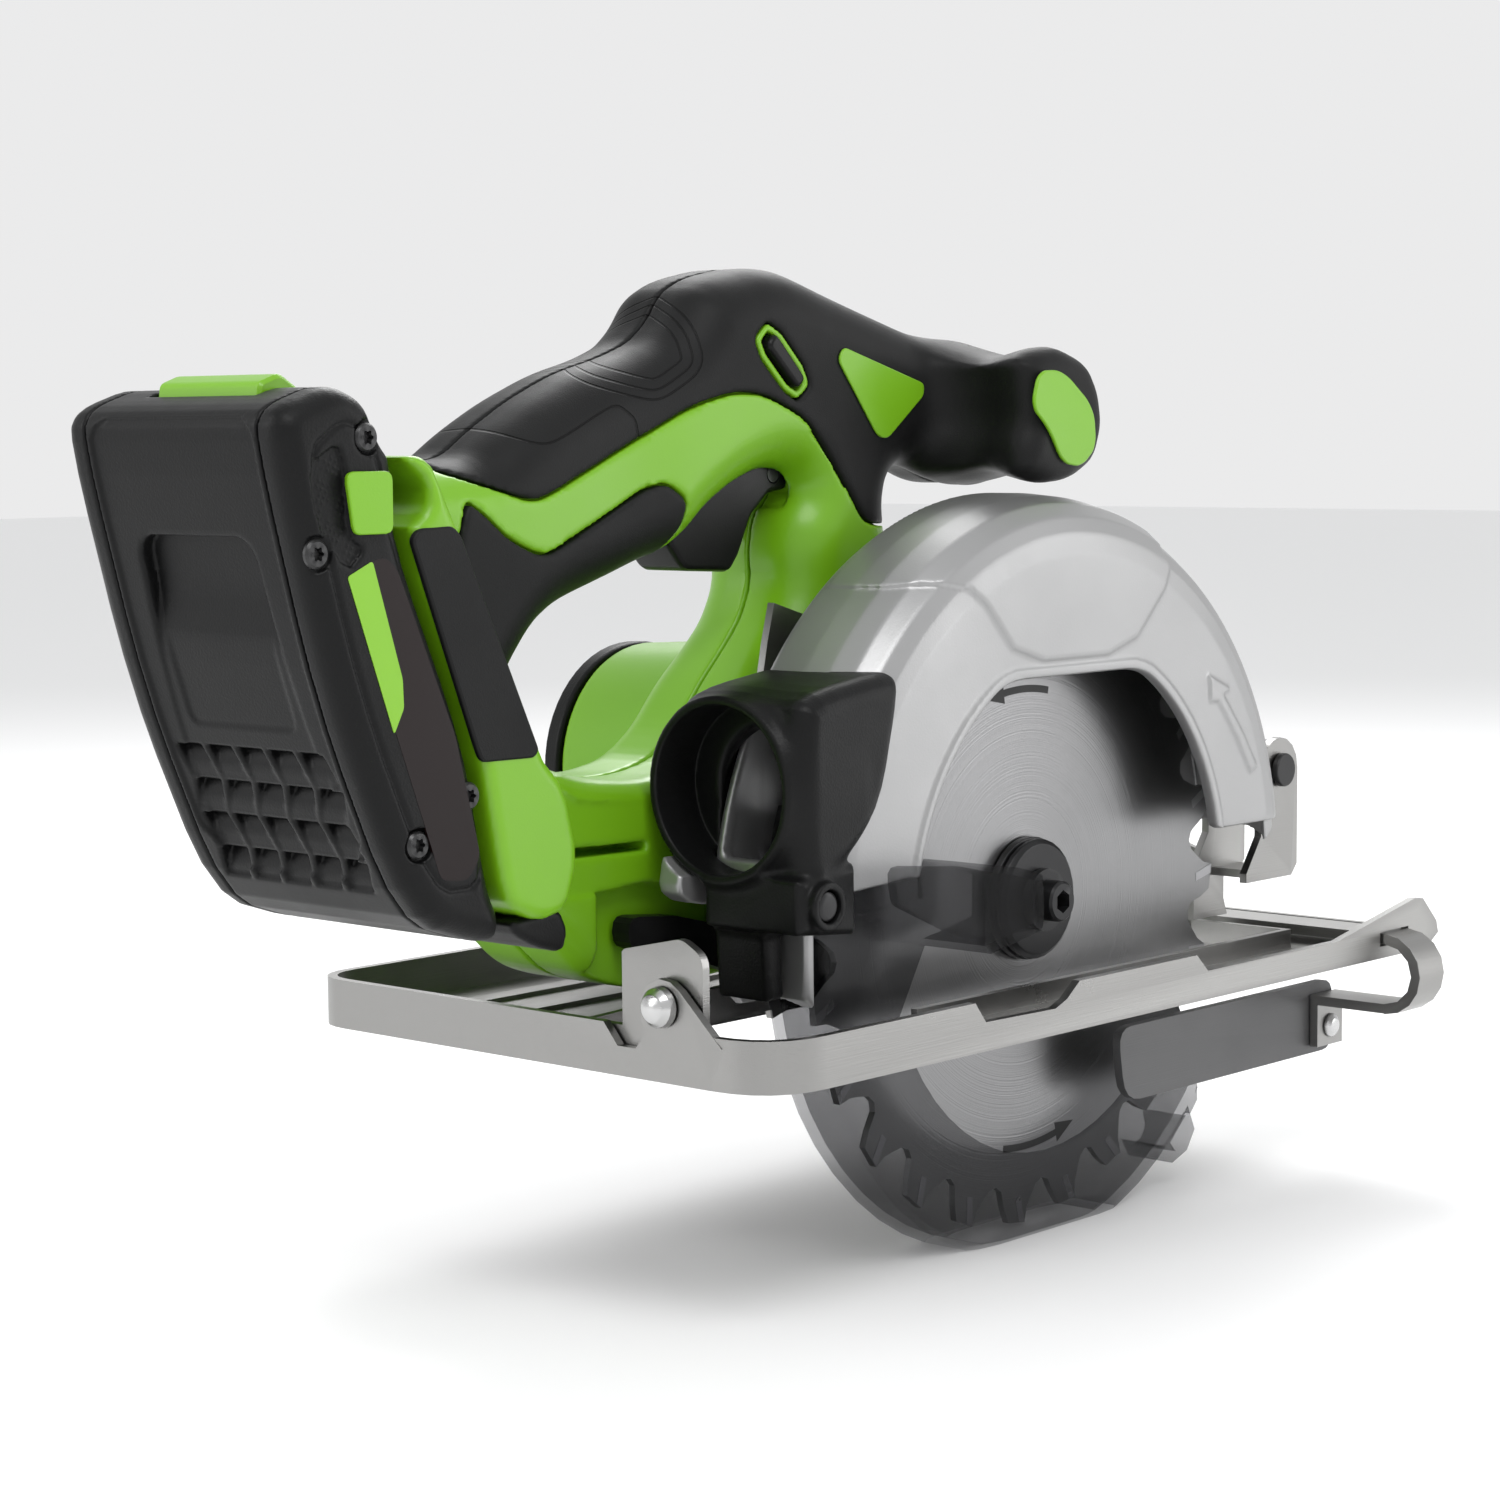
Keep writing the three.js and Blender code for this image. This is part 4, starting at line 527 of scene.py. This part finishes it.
# ------------------------------------------------------------------ upper guard
def upper_guard():
    g = Grid((-117, -20, -22), (119, 21, 102), 0.62 * Q)
    r3 = g.rad(0, 0)
    # profile in radius, Y
    n = 420
    rr = np.linspace(0, 150, n).astype(np.float32)
    yy = g.Y[0, :, 0]
    R2, Y2 = np.meshgrid(rr, yy, indexing="ij")
    outer = poly2([(-20, -17), (86, -17), (90.6, -16.3), (94.4, -14.2), (97.4, -10), (99, -4), (99.6, 3), (99.6, 13), (98.6, 14.6), (-20, 14.6)], R2, Y2)
    inner = poly2([(-20, -14.2), (85, -14.2), (89.6, -13.2), (93.2, -10.2), (95.4, -5), (96.4, 3), (96.4, 12), (-20, 12)], R2, Y2)
    idx = np.clip(r3[:, 0, :] / 150 * (n - 1), 0, n - 1.001)
    i0 = idx.astype(int)
    f = (idx - i0).astype(np.float32)[:, None, :]

    def turn(P):
        a = P[i0.reshape(-1)].reshape(i0.shape[0], i0.shape[1], -1).transpose(0, 2, 1)
        b = P[(i0 + 1).reshape(-1)].reshape(i0.shape[0], i0.shape[1], -1).transpose(0, 2, 1)
        return a * (1 - f) + b * f

    O, I = turn(outer), turn(inner)
    d = smax(O, -I, 0.5)
    mouth = g.xz([(-120, 10), (-96, 10), (-96, -12), (-91, -16), (-75, -16), (-40, -16), (-14, -19), (16, -19), (30, -12), (60, -6), (92, 6), (99.5, 12.2), (125, 12.2), (125, -120), (-120, -120)])
    d = smax(d, -mouth, 0.8)
    near = np.maximum(g.xz([(-130, 10), (-60, 13), (60, 13), (66, 12.4), (125, 12.4), (125, -60), (-130, -60)]), g.Y + 12)
    d = smax(d, -near, 0.8)
    d = np.maximum(d, -np.maximum(g.box(-93, 93, -13.5, 11.9, -60, 5), -100))
    # window with a lip
    win = smax(r3 - 62.5, g.Z - 56.4, 3.0)
    win = smax(win, -(g.Z + 4), 1)
    lip = np.maximum(np.abs(win - 1.3) - 1.3, np.abs(g.Y + 16.6) - 1.0)
    lip = np.maximum(lip, -g.xz([(-130, 10), (-60, 13), (60, 13), (66, 12.4), (125, 12.4), (125, -60), (-130, -60)]))
    d = smin(d, lip, 0.6)
    d = smax(d, -np.maximum(win, g.Y + 12), 1.0)
    # raised panel and its slopes
    panel = g.xz(chaikin([(-88, 130), (-66, 79), (-52, 81), (-39.5, 78.5), (-22.6, 60.6), (20.9, 60.6), (40.5, 79.5), (38, 88), (52, 130)], 1))
    skin = smax(panel, np.maximum(O - 1.0, -(O + 1.6)), 0.8)
    d = smin(d, np.maximum(skin, g.Y - 11.5), 0.9)
    arrow = g.xz([(57.2, 52.6), (66.4, 48.9), (63.4, 47.4), (72.7, 36.7), (79.2, 27.6), (76.4, 26.2), (70.2, 35.2), (61.4, 45.8), (57.6, 46.2)])
    d = smin(d, np.maximum(arrow, np.abs(g.Y + 16.9) - 0.85), 0.5)
    # gear-side wall
    wall = both(g.xz(chaikin(GUARDW, 2)), g.slab(12.2, 18.9), 0.8)
    tube = np.maximum(np.sqrt((g.Y - 3.2) ** 2 + (g.Z - 36) ** 2) - 22, g.X + 83)
    wall = np.maximum(wall, -tube)
    d = smin(d, wall, 1.2)
    d = smin(d, both(r3 - 15, g.slab(7, 13), 0.5), 0.8)
    d = np.maximum(d, -np.maximum(r3 - 9.2, g.slab(5, 13.5)))
    d = np.maximum(d, -np.maximum(r3 - 13.3, g.slab(12.7, 22)))
    # pivot lug
    rl = g.rad(108, 23.5)
    lug = smin(rl - 7.8, g.xz([(90, 12.8), (93.5, 37.5), (103, 31.6), (109, 31), (108, 16.2), (100, 15.4)]), 1.5)
    lug = both(lug, g.slab(-3.4, 10.6), 0.8)
    lug = np.maximum(lug, -(I + 0.2))
    d = smin(d, lug, 1.5)
    d = np.maximum(d, -np.maximum(rl - 3.2, g.slab(-10, 16)))
    d = smax(d, -g.box(-112, -70, -12, 11.9, 19, 53, 2), 0.8)
    d = np.maximum(d, -np.maximum(g.rad(-60.7, -10) - 3.3, g.slab(8, 22)))
    d = np.maximum(d, -np.maximum(g.rad(-33, 31) - 7.5, g.slab(15, 22)))
    return to_mesh("guard_casting", d, g), (O, g)


guard, _ = upper_guard()
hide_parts("upper_guard")
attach(guard, "saw_body")
paint(guard, CAST)


# ------------------------------------------------------------------ dust port
def dust_port():
    g = Grid((-111, -26, -14), (-64, 26, 67), 0.55 * Q)
    n = 300
    rr = np.linspace(0, 150, n).astype(np.float32)
    R2, Y2 = np.meshgrid(rr, g.Y[0, :, 0], indexing="ij")
    O2 = poly2([(-20, -17), (86, -17), (90.6, -16.3), (94.4, -14.2), (97.4, -10), (99, -4), (99.6, 3), (99.6, 13), (98.6, 14.6), (-20, 14.6)], R2, Y2)
    r3 = g.rad(0, 0)
    idx = np.clip(r3[:, 0, :] / 150 * (n - 1), 0, n - 1.001)
    i0 = idx.astype(int)
    f = (idx - i0).astype(np.float32)[:, None, :]
    A = O2[i0.reshape(-1)].reshape(i0.shape[0], i0.shape[1], -1).transpose(0, 2, 1)
    B = O2[(i0 + 1).reshape(-1)].reshape(i0.shape[0], i0.shape[1], -1).transpose(0, 2, 1)
    O = A * (1 - f) + B * f
    ry = np.sqrt((g.Y - 3.2) ** 2 + (g.Z - 36) ** 2)
    tube = both(ry - 21.3, np.abs(g.X + 97) - 11.6, 0.6)
    sad = both(g.xz(chaikin([(-104, 58), (-72, 62.4), (-69.8, 57), (-76.5, 31), (-90, 18), (-101, 13), (-106, 20), (-106, 50)], 2)), g.slab(-20.6, 17.6), 5.5)
    d = smin(tube, sad, 5.0)
    d = smin(d, both(g.xz([(-107.6, 17), (-88, 19), (-88, 3), (-107.6, 4.8)]), g.slab(-20.6, 9), 2.0), 3.0)
    d = smin(d, both(g.xz([(-104.5, 7), (-92, 7), (-92, -12), (-103, -12)]), g.slab(-7, 9), 1.6), 3.0)
    boss = g.rad(-100.5, 11)
    d = smin(d, both(boss - 5.6, g.slab(-23.4, -15), 0.5), 1.2)
    d = np.maximum(d, -(O - 0.35))
    d = np.maximum(d, -np.maximum(np.maximum(g.xz(GUARDW) - 0.4, g.slab(11.8, 40)), -np.maximum(ry - 21.4, g.X + 83)))
    d = smax(d, -np.maximum(ry - 19.3, g.X + 95), 0.8)
    d = smax(d, -np.maximum(np.sqrt((g.Y - 0.5) ** 2 + (g.Z - 36) ** 2) - 14, g.X + 60), 2.0)
    d = np.maximum(d, -np.maximum(boss - 2.6, g.slab(-30, -8)))
    d = np.maximum(d, -np.maximum(boss - 3.8, g.slab(-30, -20.5)))
    return to_mesh("dust_chute", d, g)


port = dust_port()
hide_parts("dust_port")
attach(port, "saw_body")
paint(port, DARK)


# ------------------------------------------------------------------ battery
SCREWS = [(-205.6, 116), (-219.4, 92.8), (-178.8, 40.5), (-193.5, 31.5)]


def battery():
    g = Grid((-232, 6.5, -1), (-143, 83.5, 130), 0.55 * Q)
    d2 = g.xz(chaikin(PACK, 2))
    d = both(d2, g.slab(9, 81), 5.5)
    # along the pack (u, upwards) and through it (w, forwards)
    ux, uz = -0.345, 0.9386
    u = (g.X + 197) * ux + (g.Z - 15) * uz
    w = (g.X + 197) * uz - (g.Z - 15) * ux
    yy = g.Y - 45
    back = w - 13
    # broad shallow field, the deeper finger hollow below it and the flat for the rating plate
    field = both(np.abs(yy) - 26.2, np.abs(u - 62) - 47, 5.0)
    d = smax(d, -np.maximum(np.maximum(field, -(d2 + 0.8)), back), 0.8)
    hollow = both(np.abs(yy) - 20.5 + 0.05 * (u - 40), np.abs(u - 46) - 38.6, 5.0)
    ledge = 1.0 + 3.4 / (1 + np.exp(-(u - 66) / 2.6)) * (u < 90)
    d = smax(d, -np.maximum(np.maximum(hollow, -(d2 + ledge)), back), 1.3)
    plate_ = both(np.abs(yy) - 17, np.abs(u - 56) - 13.5, 2.5)
    d = smax(d, -np.maximum(np.maximum(plate_, -(d2 + 1.0 + 0.7)), back), 0.4)
    # louvred cooling pockets low on the back, five columns of four, with zigzag ribs
    for i in range(5):
        for j in range(4):
            cu = 8.4 + j * 8.4
            t = np.clip((u - cu + 3.7) / 7.4, 0, 1)
            lean = (1 if j % 2 else -1) * 1.15 * (t - 0.5) * 2
            pk = np.maximum(np.abs(yy - (i - 2) * 10.0 - lean) - 3.9, np.abs(u - cu) - 3.6)
            d = smax(d, -np.maximum(np.maximum(pk, -(d2 + 1.2 + 3.8 * t * t)), back), 0.9)
    # steps along the long edges
    edge = np.maximum(np.abs(np.abs(yy) - 37.2) - 2.2, np.abs(u - 42) - 34)
    d = smax(d, -np.maximum(np.maximum(edge, -(d2 + 0.9)), back), 0.7)
    # side walls: a sunk border line, the pull panel beside the flap, pockets for the screws
    wall = np.abs(yy)
    border = np.abs(g.xz(chaikin([(-222.5, 112.5), (-213, 119.5), (-206.5, 117.5), (-202.6, 110), (-200.8, 96.5), (-180.8, 50.5), (-174.6, 21), (-190, 21), (-209, 64)], 2))) - 0.45
    d = smax(d, -np.maximum(border, 35.3 - wall), 0.3)
    pull = g.xz(chaikin([(-221.5, 110.8), (-213.8, 115.0), (-212.0, 110.5), (-211.2, 96), (-207, 93.6), (-212, 88.8), (-219.8, 91.5 + 8)], 1))
    bumps = 0.28 * np.sin(g.X * 3.1 + g.Z * 1.2) * np.sin(g.Z * 3.1 - g.X * 1.2)
    d = smax(d, -np.maximum(pull, 35.0 - wall + bumps), 0.3)
    for x, z in SCREWS:
        rr = g.rad(x, z)
        d = smax(d, -np.maximum(rr - 3.7, 34.3 - wall), 0.4)
    # latch pocket, line round it, seams
    d = smax(d, -np.maximum(g.xz([(-219.2, 111.2), (-204.5, 111.2), (-204.5, 135), (-219.2, 135)]), g.slab(27.6, 62.4)), 0.5)
    rail = both(g.xz([(-200, 95), (-185.4, 95), (-160.4, 39), (-161.8, 24), (-177, 24), (-184, 54)]), g.slab(24, 66), 0.6)
    mid = smin(d, rail, 0.6)
    out = {}
    out["battery_shell"] = to_mesh("pack_middle", smax(mid, wall - 27.7, 0.6), g)
    out["battery_side_right"] = to_mesh("pack_side_right", smax(d, (g.Y - 17) + 0.12, 0.6), g)
    out["battery_side_left"] = to_mesh("pack_side_left", smax(d, -(g.Y - 73) + 0.12, 0.6), g)
    return out


for n, o in battery().items():
    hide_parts(n)
    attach(o, "battery")
    paint(o, DARK)

# side label in two plain colours, without lettering
def round_plate(name, P, r, y0, y1, m, body):
    pts = []
    for i, q in enumerate(P):
        a, b, c = np.array(P[i - 1], float), np.array(q, float), np.array(P[(i + 1) % len(P)], float)
        ra = min(r, np.linalg.norm(a - b) * 0.45, np.linalg.norm(c - b) * 0.45)
        s0, s1 = b + (a - b) / np.linalg.norm(a - b) * ra, b + (c - b) / np.linalg.norm(c - b) * ra
        for t in (0, 0.2, 0.4, 0.6, 0.8, 1):
            pts.append(tuple((1 - t) ** 2 * s0 + 2 * t * (1 - t) * b + t * t * s1))
    o = plate(name, pts, y0, y1)
    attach(o, body)
    paint(o, m)
    return o


for nm, y0, y1 in (("right", 8.86, 9.6), ("left", 80.4, 81.14)):
    round_plate("label_dark_" + nm, [(-212.2, 88.0), (-205.6, 91.0), (-201.6, 91.6), (-198.6, 89), (-183.2, 53.6), (-176.6, 27.6), (-180.4, 22.8), (-188.0, 23.6), (-191, 32)], 2.0, y0 + 0.08, y1 - 0.08, LABEL_D, "battery")
    round_plate("label_green_" + nm, [(-212.2, 88.0), (-205.4, 91.0), (-197.8, 66.4), (-197.6, 60.4), (-200.4, 55.2)], 0.8, y0, y1, LABEL_G, "battery")

# screw heads at the bottom of their pockets
for i, (x, z) in enumerate(SCREWS):
    v, f = [], []
    prof = [(3.0, 0.0), (3.0, -0.7), (2.5, -1.25), (1.35, -1.3), (1.2, 0.1), (0.0, 0.15)]
    n = 36
    for r, h in prof:
        for k in range(n):
            a = 2 * math.pi * k / n
            rr = r * (1 + 0.16 * math.cos(6 * a)) if 1.0 < r < 1.4 else r
            v.append((x + rr * math.cos(a), 10.65 + h, z + rr * math.sin(a)))
    for j in range(len(prof) - 1):
        for k in range(n):
            f.append([j * n + k, j * n + (k + 1) % n, (j + 1) * n + (k + 1) % n, (j + 1) * n + k])
    f.append([k for k in range(n)])
    o = from_faces("pack_screw_%d" % (i + 1), v, f, True)
    o.data.set_sharp_from_angle(angle=math.radians(40))
    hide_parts("battery_screw_%d" % (i + 1))
    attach(o, "battery")
    paint(o, OXIDE)

# inlays with round corners
o = round_plate("inlay_triangle", [(-39.4, 133.4), (-37.4, 136.6), (-6.4, 127.9), (-6.6, 124.8), (-20.8, 114.2), (-24.6, 114.9)], 3.2, 25.15, 25.9, GREEN, "saw_body")
soften(o, 0.3, 2, 30, planar=False)
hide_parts("triangle_inlay")
oval = chaikin([(-1.8, 121.8), (1.0, 130.6), (10.7, 130.8), (23.6, 121.6), (24.6, 111.6), (18.4, 106.8), (10.8, 107.8), (5.0, 116.4)], 1)
o = round_plate("inlay_handle", [tuple(q) for q in oval], 4.0, -5.2, -4.15, GREEN, "saw_body")
soften(o, 0.35, 2, 30, planar=False)
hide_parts("front_handle_inlay")

# trigger pin, hidden inside the trigger
v = [(-50 + 2 * math.cos(2 * math.pi * k / 32), y, 106 + 2 * math.sin(2 * math.pi * k / 32)) for y in (37.4, 52.6) for k in range(32)]
f = [[k, (k + 1) % 32, 32 + (k + 1) % 32, 32 + k] for k in range(32)] + [list(range(32)), list(range(32, 64))]
o = from_faces("pin_of_trigger", v, f, True)
o.data.set_sharp_from_angle(angle=math.radians(40))
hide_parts("trigger_pin")
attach(o, "saw_body")
paint(o, OXIDE)

# black side panels of the battery mount
side_panel = [(-194.5, 95.0), (-192.4, 97.2), (-183.0, 97.5), (-180.8, 95.6), (-158.9, 48.8), (-160.4, 47.2), (-175.6, 47.4), (-177.0, 50.2)]
for nm, y0, y1 in (("mount_panel_right", 8.6, 10.4), ("mount_panel_left", 79.6, 81.4)):
    o = round_plate(nm, side_panel, 1.4, y0, y1, GRIP, "saw_body")
    soften(o, 0.5, 2, 30, planar=False)

# black lip under the battery mount
g = Grid((-168, 9, 0), (-144, 81, 17), 0.6 * Q)
lipd = both(g.xz(chaikin([(-160, 12.4), (-150, 13.2), (-147.4, 8), (-149, 3.2), (-157, 5.4), (-163, 8.4), (-165, 11.6)], 1)), g.slab(12, 78), 1.2)
o = to_mesh("mount_lip", lipd, g)
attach(o, "saw_body")
paint(o, DARK)

# ------------------------------------------------------------------ carbide tips
tips_v, tips_f = [], []
for i in range(24):
    a0 = math.radians(195.0 + i * 15)
    def pt(r, da, y):
        a = a0 + math.radians(da)
        return (r * math.cos(a), y, r * math.sin(a))
    base = len(tips_v)
    prof = [(82.45, 0.02), (82.2, -1.7), (75.6, -3.0), (75.4, -1.35)]
    for y, s in ((-1.05, 0), (1.05, 1)):
        for r, da in prof:
            tips_v.append(pt(r, da + 0.0, y * (1.0 if r > 80 else 0.92)))
    for f in ([0, 1, 2, 3], [7, 6, 5, 4], [0, 4, 5, 1], [1, 5, 6, 2], [2, 6, 7, 3], [3, 7, 4, 0]):
        tips_f.append([base + k for k in f])
tips = from_faces("carbide_tips", tips_v, tips_f)
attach(tips, "blade_set")
paint(tips, CARBIDE)

# plain direction arcs printed on the blade
v, f = [], []


def band(r0, r1, a0, a1, n, y0, y1):
    base = len(v)
    for k in range(n + 1):
        a = math.radians(a0 + (a1 - a0) * k / n)
        for r in (r0, r1):
            for y in (y0, y1):
                v.append((r * math.cos(a), y, r * math.sin(a)))
    for k in range(n):
        i, j = base + 4 * k, base + 4 * (k + 1)
        f.extend([[i, j, j + 2, i + 2], [i + 1, i + 3, j + 3, j + 1], [i, i + 1, j + 1, j], [i + 2, j + 2, j + 3, i + 3]])
    e = base + 4 * n
    f.extend([[base, base + 2, base + 3, base + 1], [e, e + 1, e + 3, e + 2]])


def head(a0, a1, rm, w, y0, y1):
    base = len(v)
    p0, p1 = math.radians(a0), math.radians(a1)
    for q, r in ((p0, rm - w), (p0, rm + w), (p1, rm)):
        for y in (y0, y1):
            v.append((r * math.cos(q), y, r * math.sin(q)))
    f.extend([[base, base + 2, base + 4], [base + 1, base + 5, base + 3], [base, base + 1, base + 3, base + 2], [base + 2, base + 3, base + 5, base + 4], [base + 4, base + 5, base + 1, base]])


TB = 0.90
for s_ in (-1, 1):
    y0, y1 = sorted((s_ * (TB - 0.1), s_ * (TB + 0.03)))
    for a, r in ((79, 52.2), (-98, 63.0)):
        band(r - 0.9, r + 0.9, a, a + 20, 12, y0, y1)
        head(a + 20, a + 27, r, 2.6, y0, y1)
prints = from_faces("blade_print", v, f)
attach(prints, "blade_set")
paint(prints, PRINT)

# ------------------------------------------------------------------ finishes of the pieces shown as built
LOOK = {
    "base_plate": (PRESS, 0.45), "bevel_rivet": (STEEL, 0.2), "rear_bevel_bracket": (PRESS, 0.35), "front_bevel_bracket": (PRESS, 0.35), "depth_pivot_pin": (OXIDE, 0.3), "bevel_knob": (BLACKP, 0.5),
    "outer_spindle_bearing": (STEEL, 0.3), "gear_case": (CAST, 0.6), "spindle_lock_button": (BLACKP, 0.4), "idler_axle": (STEEL, 0.2), "inner_spindle_bearing": (STEEL, 0.3), "gear_side_motor_bearing": (STEEL, 0.3),
    "output_gear": (STEEL, 0.0), "idler_gear": (STEEL, 0.0), "saw_blade": (BLADE, 0.0), "inner_flange": (OXIDE, 0.3), "outer_flange": (OXIDE, 0.3), "spindle": (STEEL, 0.2), "blade_bolt": (OXIDE, 0.3),
    "lower_guard": (SMOKE, 0.45), "guard_spring": (STEEL, 0.0), "dust_port_screw": (OXIDE, 0.2), "depth_lever": (BLACKP, 0.6), "depth_clamp_bolt": (STEEL, 0.2), "stator": (COPPER, 0.4), "rotor": (STEEL, 0.4),
    "motor_shaft": (STEEL, 0.0), "cooling_fan": (BLACKP, 0.2), "end_motor_bearing": (STEEL, 0.3), "motor_end_cap": (DARK, 0.6), "trigger": (BLACKP, 0.6),
    "switch_module": (BLACKP, 0.5), "lock_off_button": (BLACKP, 0.4), "control_board": (BOARD, 0.0), "cell_pack": (CELL, 0.8), "battery_latch": (GREEN, 0.6),
    "usb_cover": (GREEN, 0.35), "fence_bar": (PRESS, 0.35), "fence_plate": (FENCE, 0.3), "fence_rivet": (STEEL, 0.2), "fence_screw": (BLACKP, 0.4),
}
for n, (m, w) in LOOK.items():
    o = NODES[n]
    o.data.materials.clear()
    o.data.materials.append(m)
    if w:
        soften(o, w)
    else:
        o.data.set_sharp_from_angle(angle=math.radians(30))

# ------------------------------------------------------------------ camera, floor and light
C = Vector((-0.65911, -0.53822, 0.14294))
yaw, pit, roll = math.radians(41.879), math.radians(5.536), math.radians(-0.5027)
fwd = Vector((math.cos(pit) * math.cos(yaw), math.cos(pit) * math.sin(yaw), -math.sin(pit)))
right = Vector((math.sin(yaw), -math.cos(yaw), 0))
up = right.cross(fwd)
c, s = math.cos(roll), math.sin(roll)
r2, u2 = right * c + up * s, up * c - right * s
cam = bpy.data.cameras.new("camera")
cam.lens, cam.sensor_width = 80, 36
cam.clip_start = 0.01
co = bpy.data.objects.new("camera", cam)
bpy.context.scene.collection.objects.link(co)
M = Matrix((r2, u2, -fwd)).transposed().to_4x4()
M.translation = C
co.matrix_world = M
bpy.context.scene.camera = co

fl = bpy.data.meshes.new("floor")
fl.from_pydata([(-6, -6, -0.0575), (6, -6, -0.0575), (6, 6, -0.0575), (-6, 6, -0.0575)], [], [(0, 1, 2, 3)])
floor = bpy.data.objects.new("floor", fl)
bpy.context.scene.collection.objects.link(floor)
fm = bpy.data.materials.new("floor_paint")
fm.use_nodes = True
fp = fm.node_tree.nodes["Principled BSDF"]
fp.inputs["Base Color"].default_value = (0.97, 0.97, 0.97, 1)
fp.inputs["Roughness"].default_value = 0.7
fl.materials.append(fm)

bpy.context.scene.view_settings.view_transform = "Standard"
w = bpy.data.worlds.new("studio")
w.use_nodes = True
WN, WL = w.node_tree.nodes, w.node_tree.links
wt, wx, wr, wm = WN.new("ShaderNodeTexCoord"), WN.new("ShaderNodeSeparateXYZ"), WN.new("ShaderNodeMapRange"), WN.new("ShaderNodeMix")
wm.data_type = "RGBA"
wm.inputs["A"].default_value = (0.83, 0.83, 0.833, 1)
wm.inputs["B"].default_value = (0.74, 0.745, 0.75, 1)
wr.inputs["From Min"].default_value = 0.12
wr.inputs["From Max"].default_value = 0.7
WL.new(wt.outputs["Generated"], wx.inputs[0])
WL.new(wx.outputs["Z"], wr.inputs["Value"])
WL.new(wr.outputs["Result"], wm.inputs["Factor"])
WL.new(wm.outputs["Result"], WN["Background"].inputs[0])
WN["Background"].inputs[1].default_value = 1.0
bpy.context.scene.world = w


def lamp(name, at, to, size, power, col=(1, 1, 1)):
    l = bpy.data.lights.new(name, "AREA")
    l.shape = "RECTANGLE"
    l.size, l.size_y = size
    l.energy = power
    l.color = col
    o = bpy.data.objects.new(name, l)
    o.location = at
    o.rotation_euler = (Vector(to) - Vector(at)).to_track_quat("-Z", "Y").to_euler()
    bpy.context.scene.collection.objects.link(o)


lamp("key", (-0.5, -0.7, 1.1), (0, 0, 0.05), (0.7, 0.5), 6.5)
lamp("rim", (0.7, 0.6, 0.9), (0, 0, 0.05), (0.6, 0.6), 8)
lamp("side", (0.9, -0.9, 0.35), (0, 0, 0.02), (0.35, 0.9), 3)
lamp("back", (-1.0, 0.5, 0.5), (-0.1, 0, 0.05), (0.5, 0.8), 4)
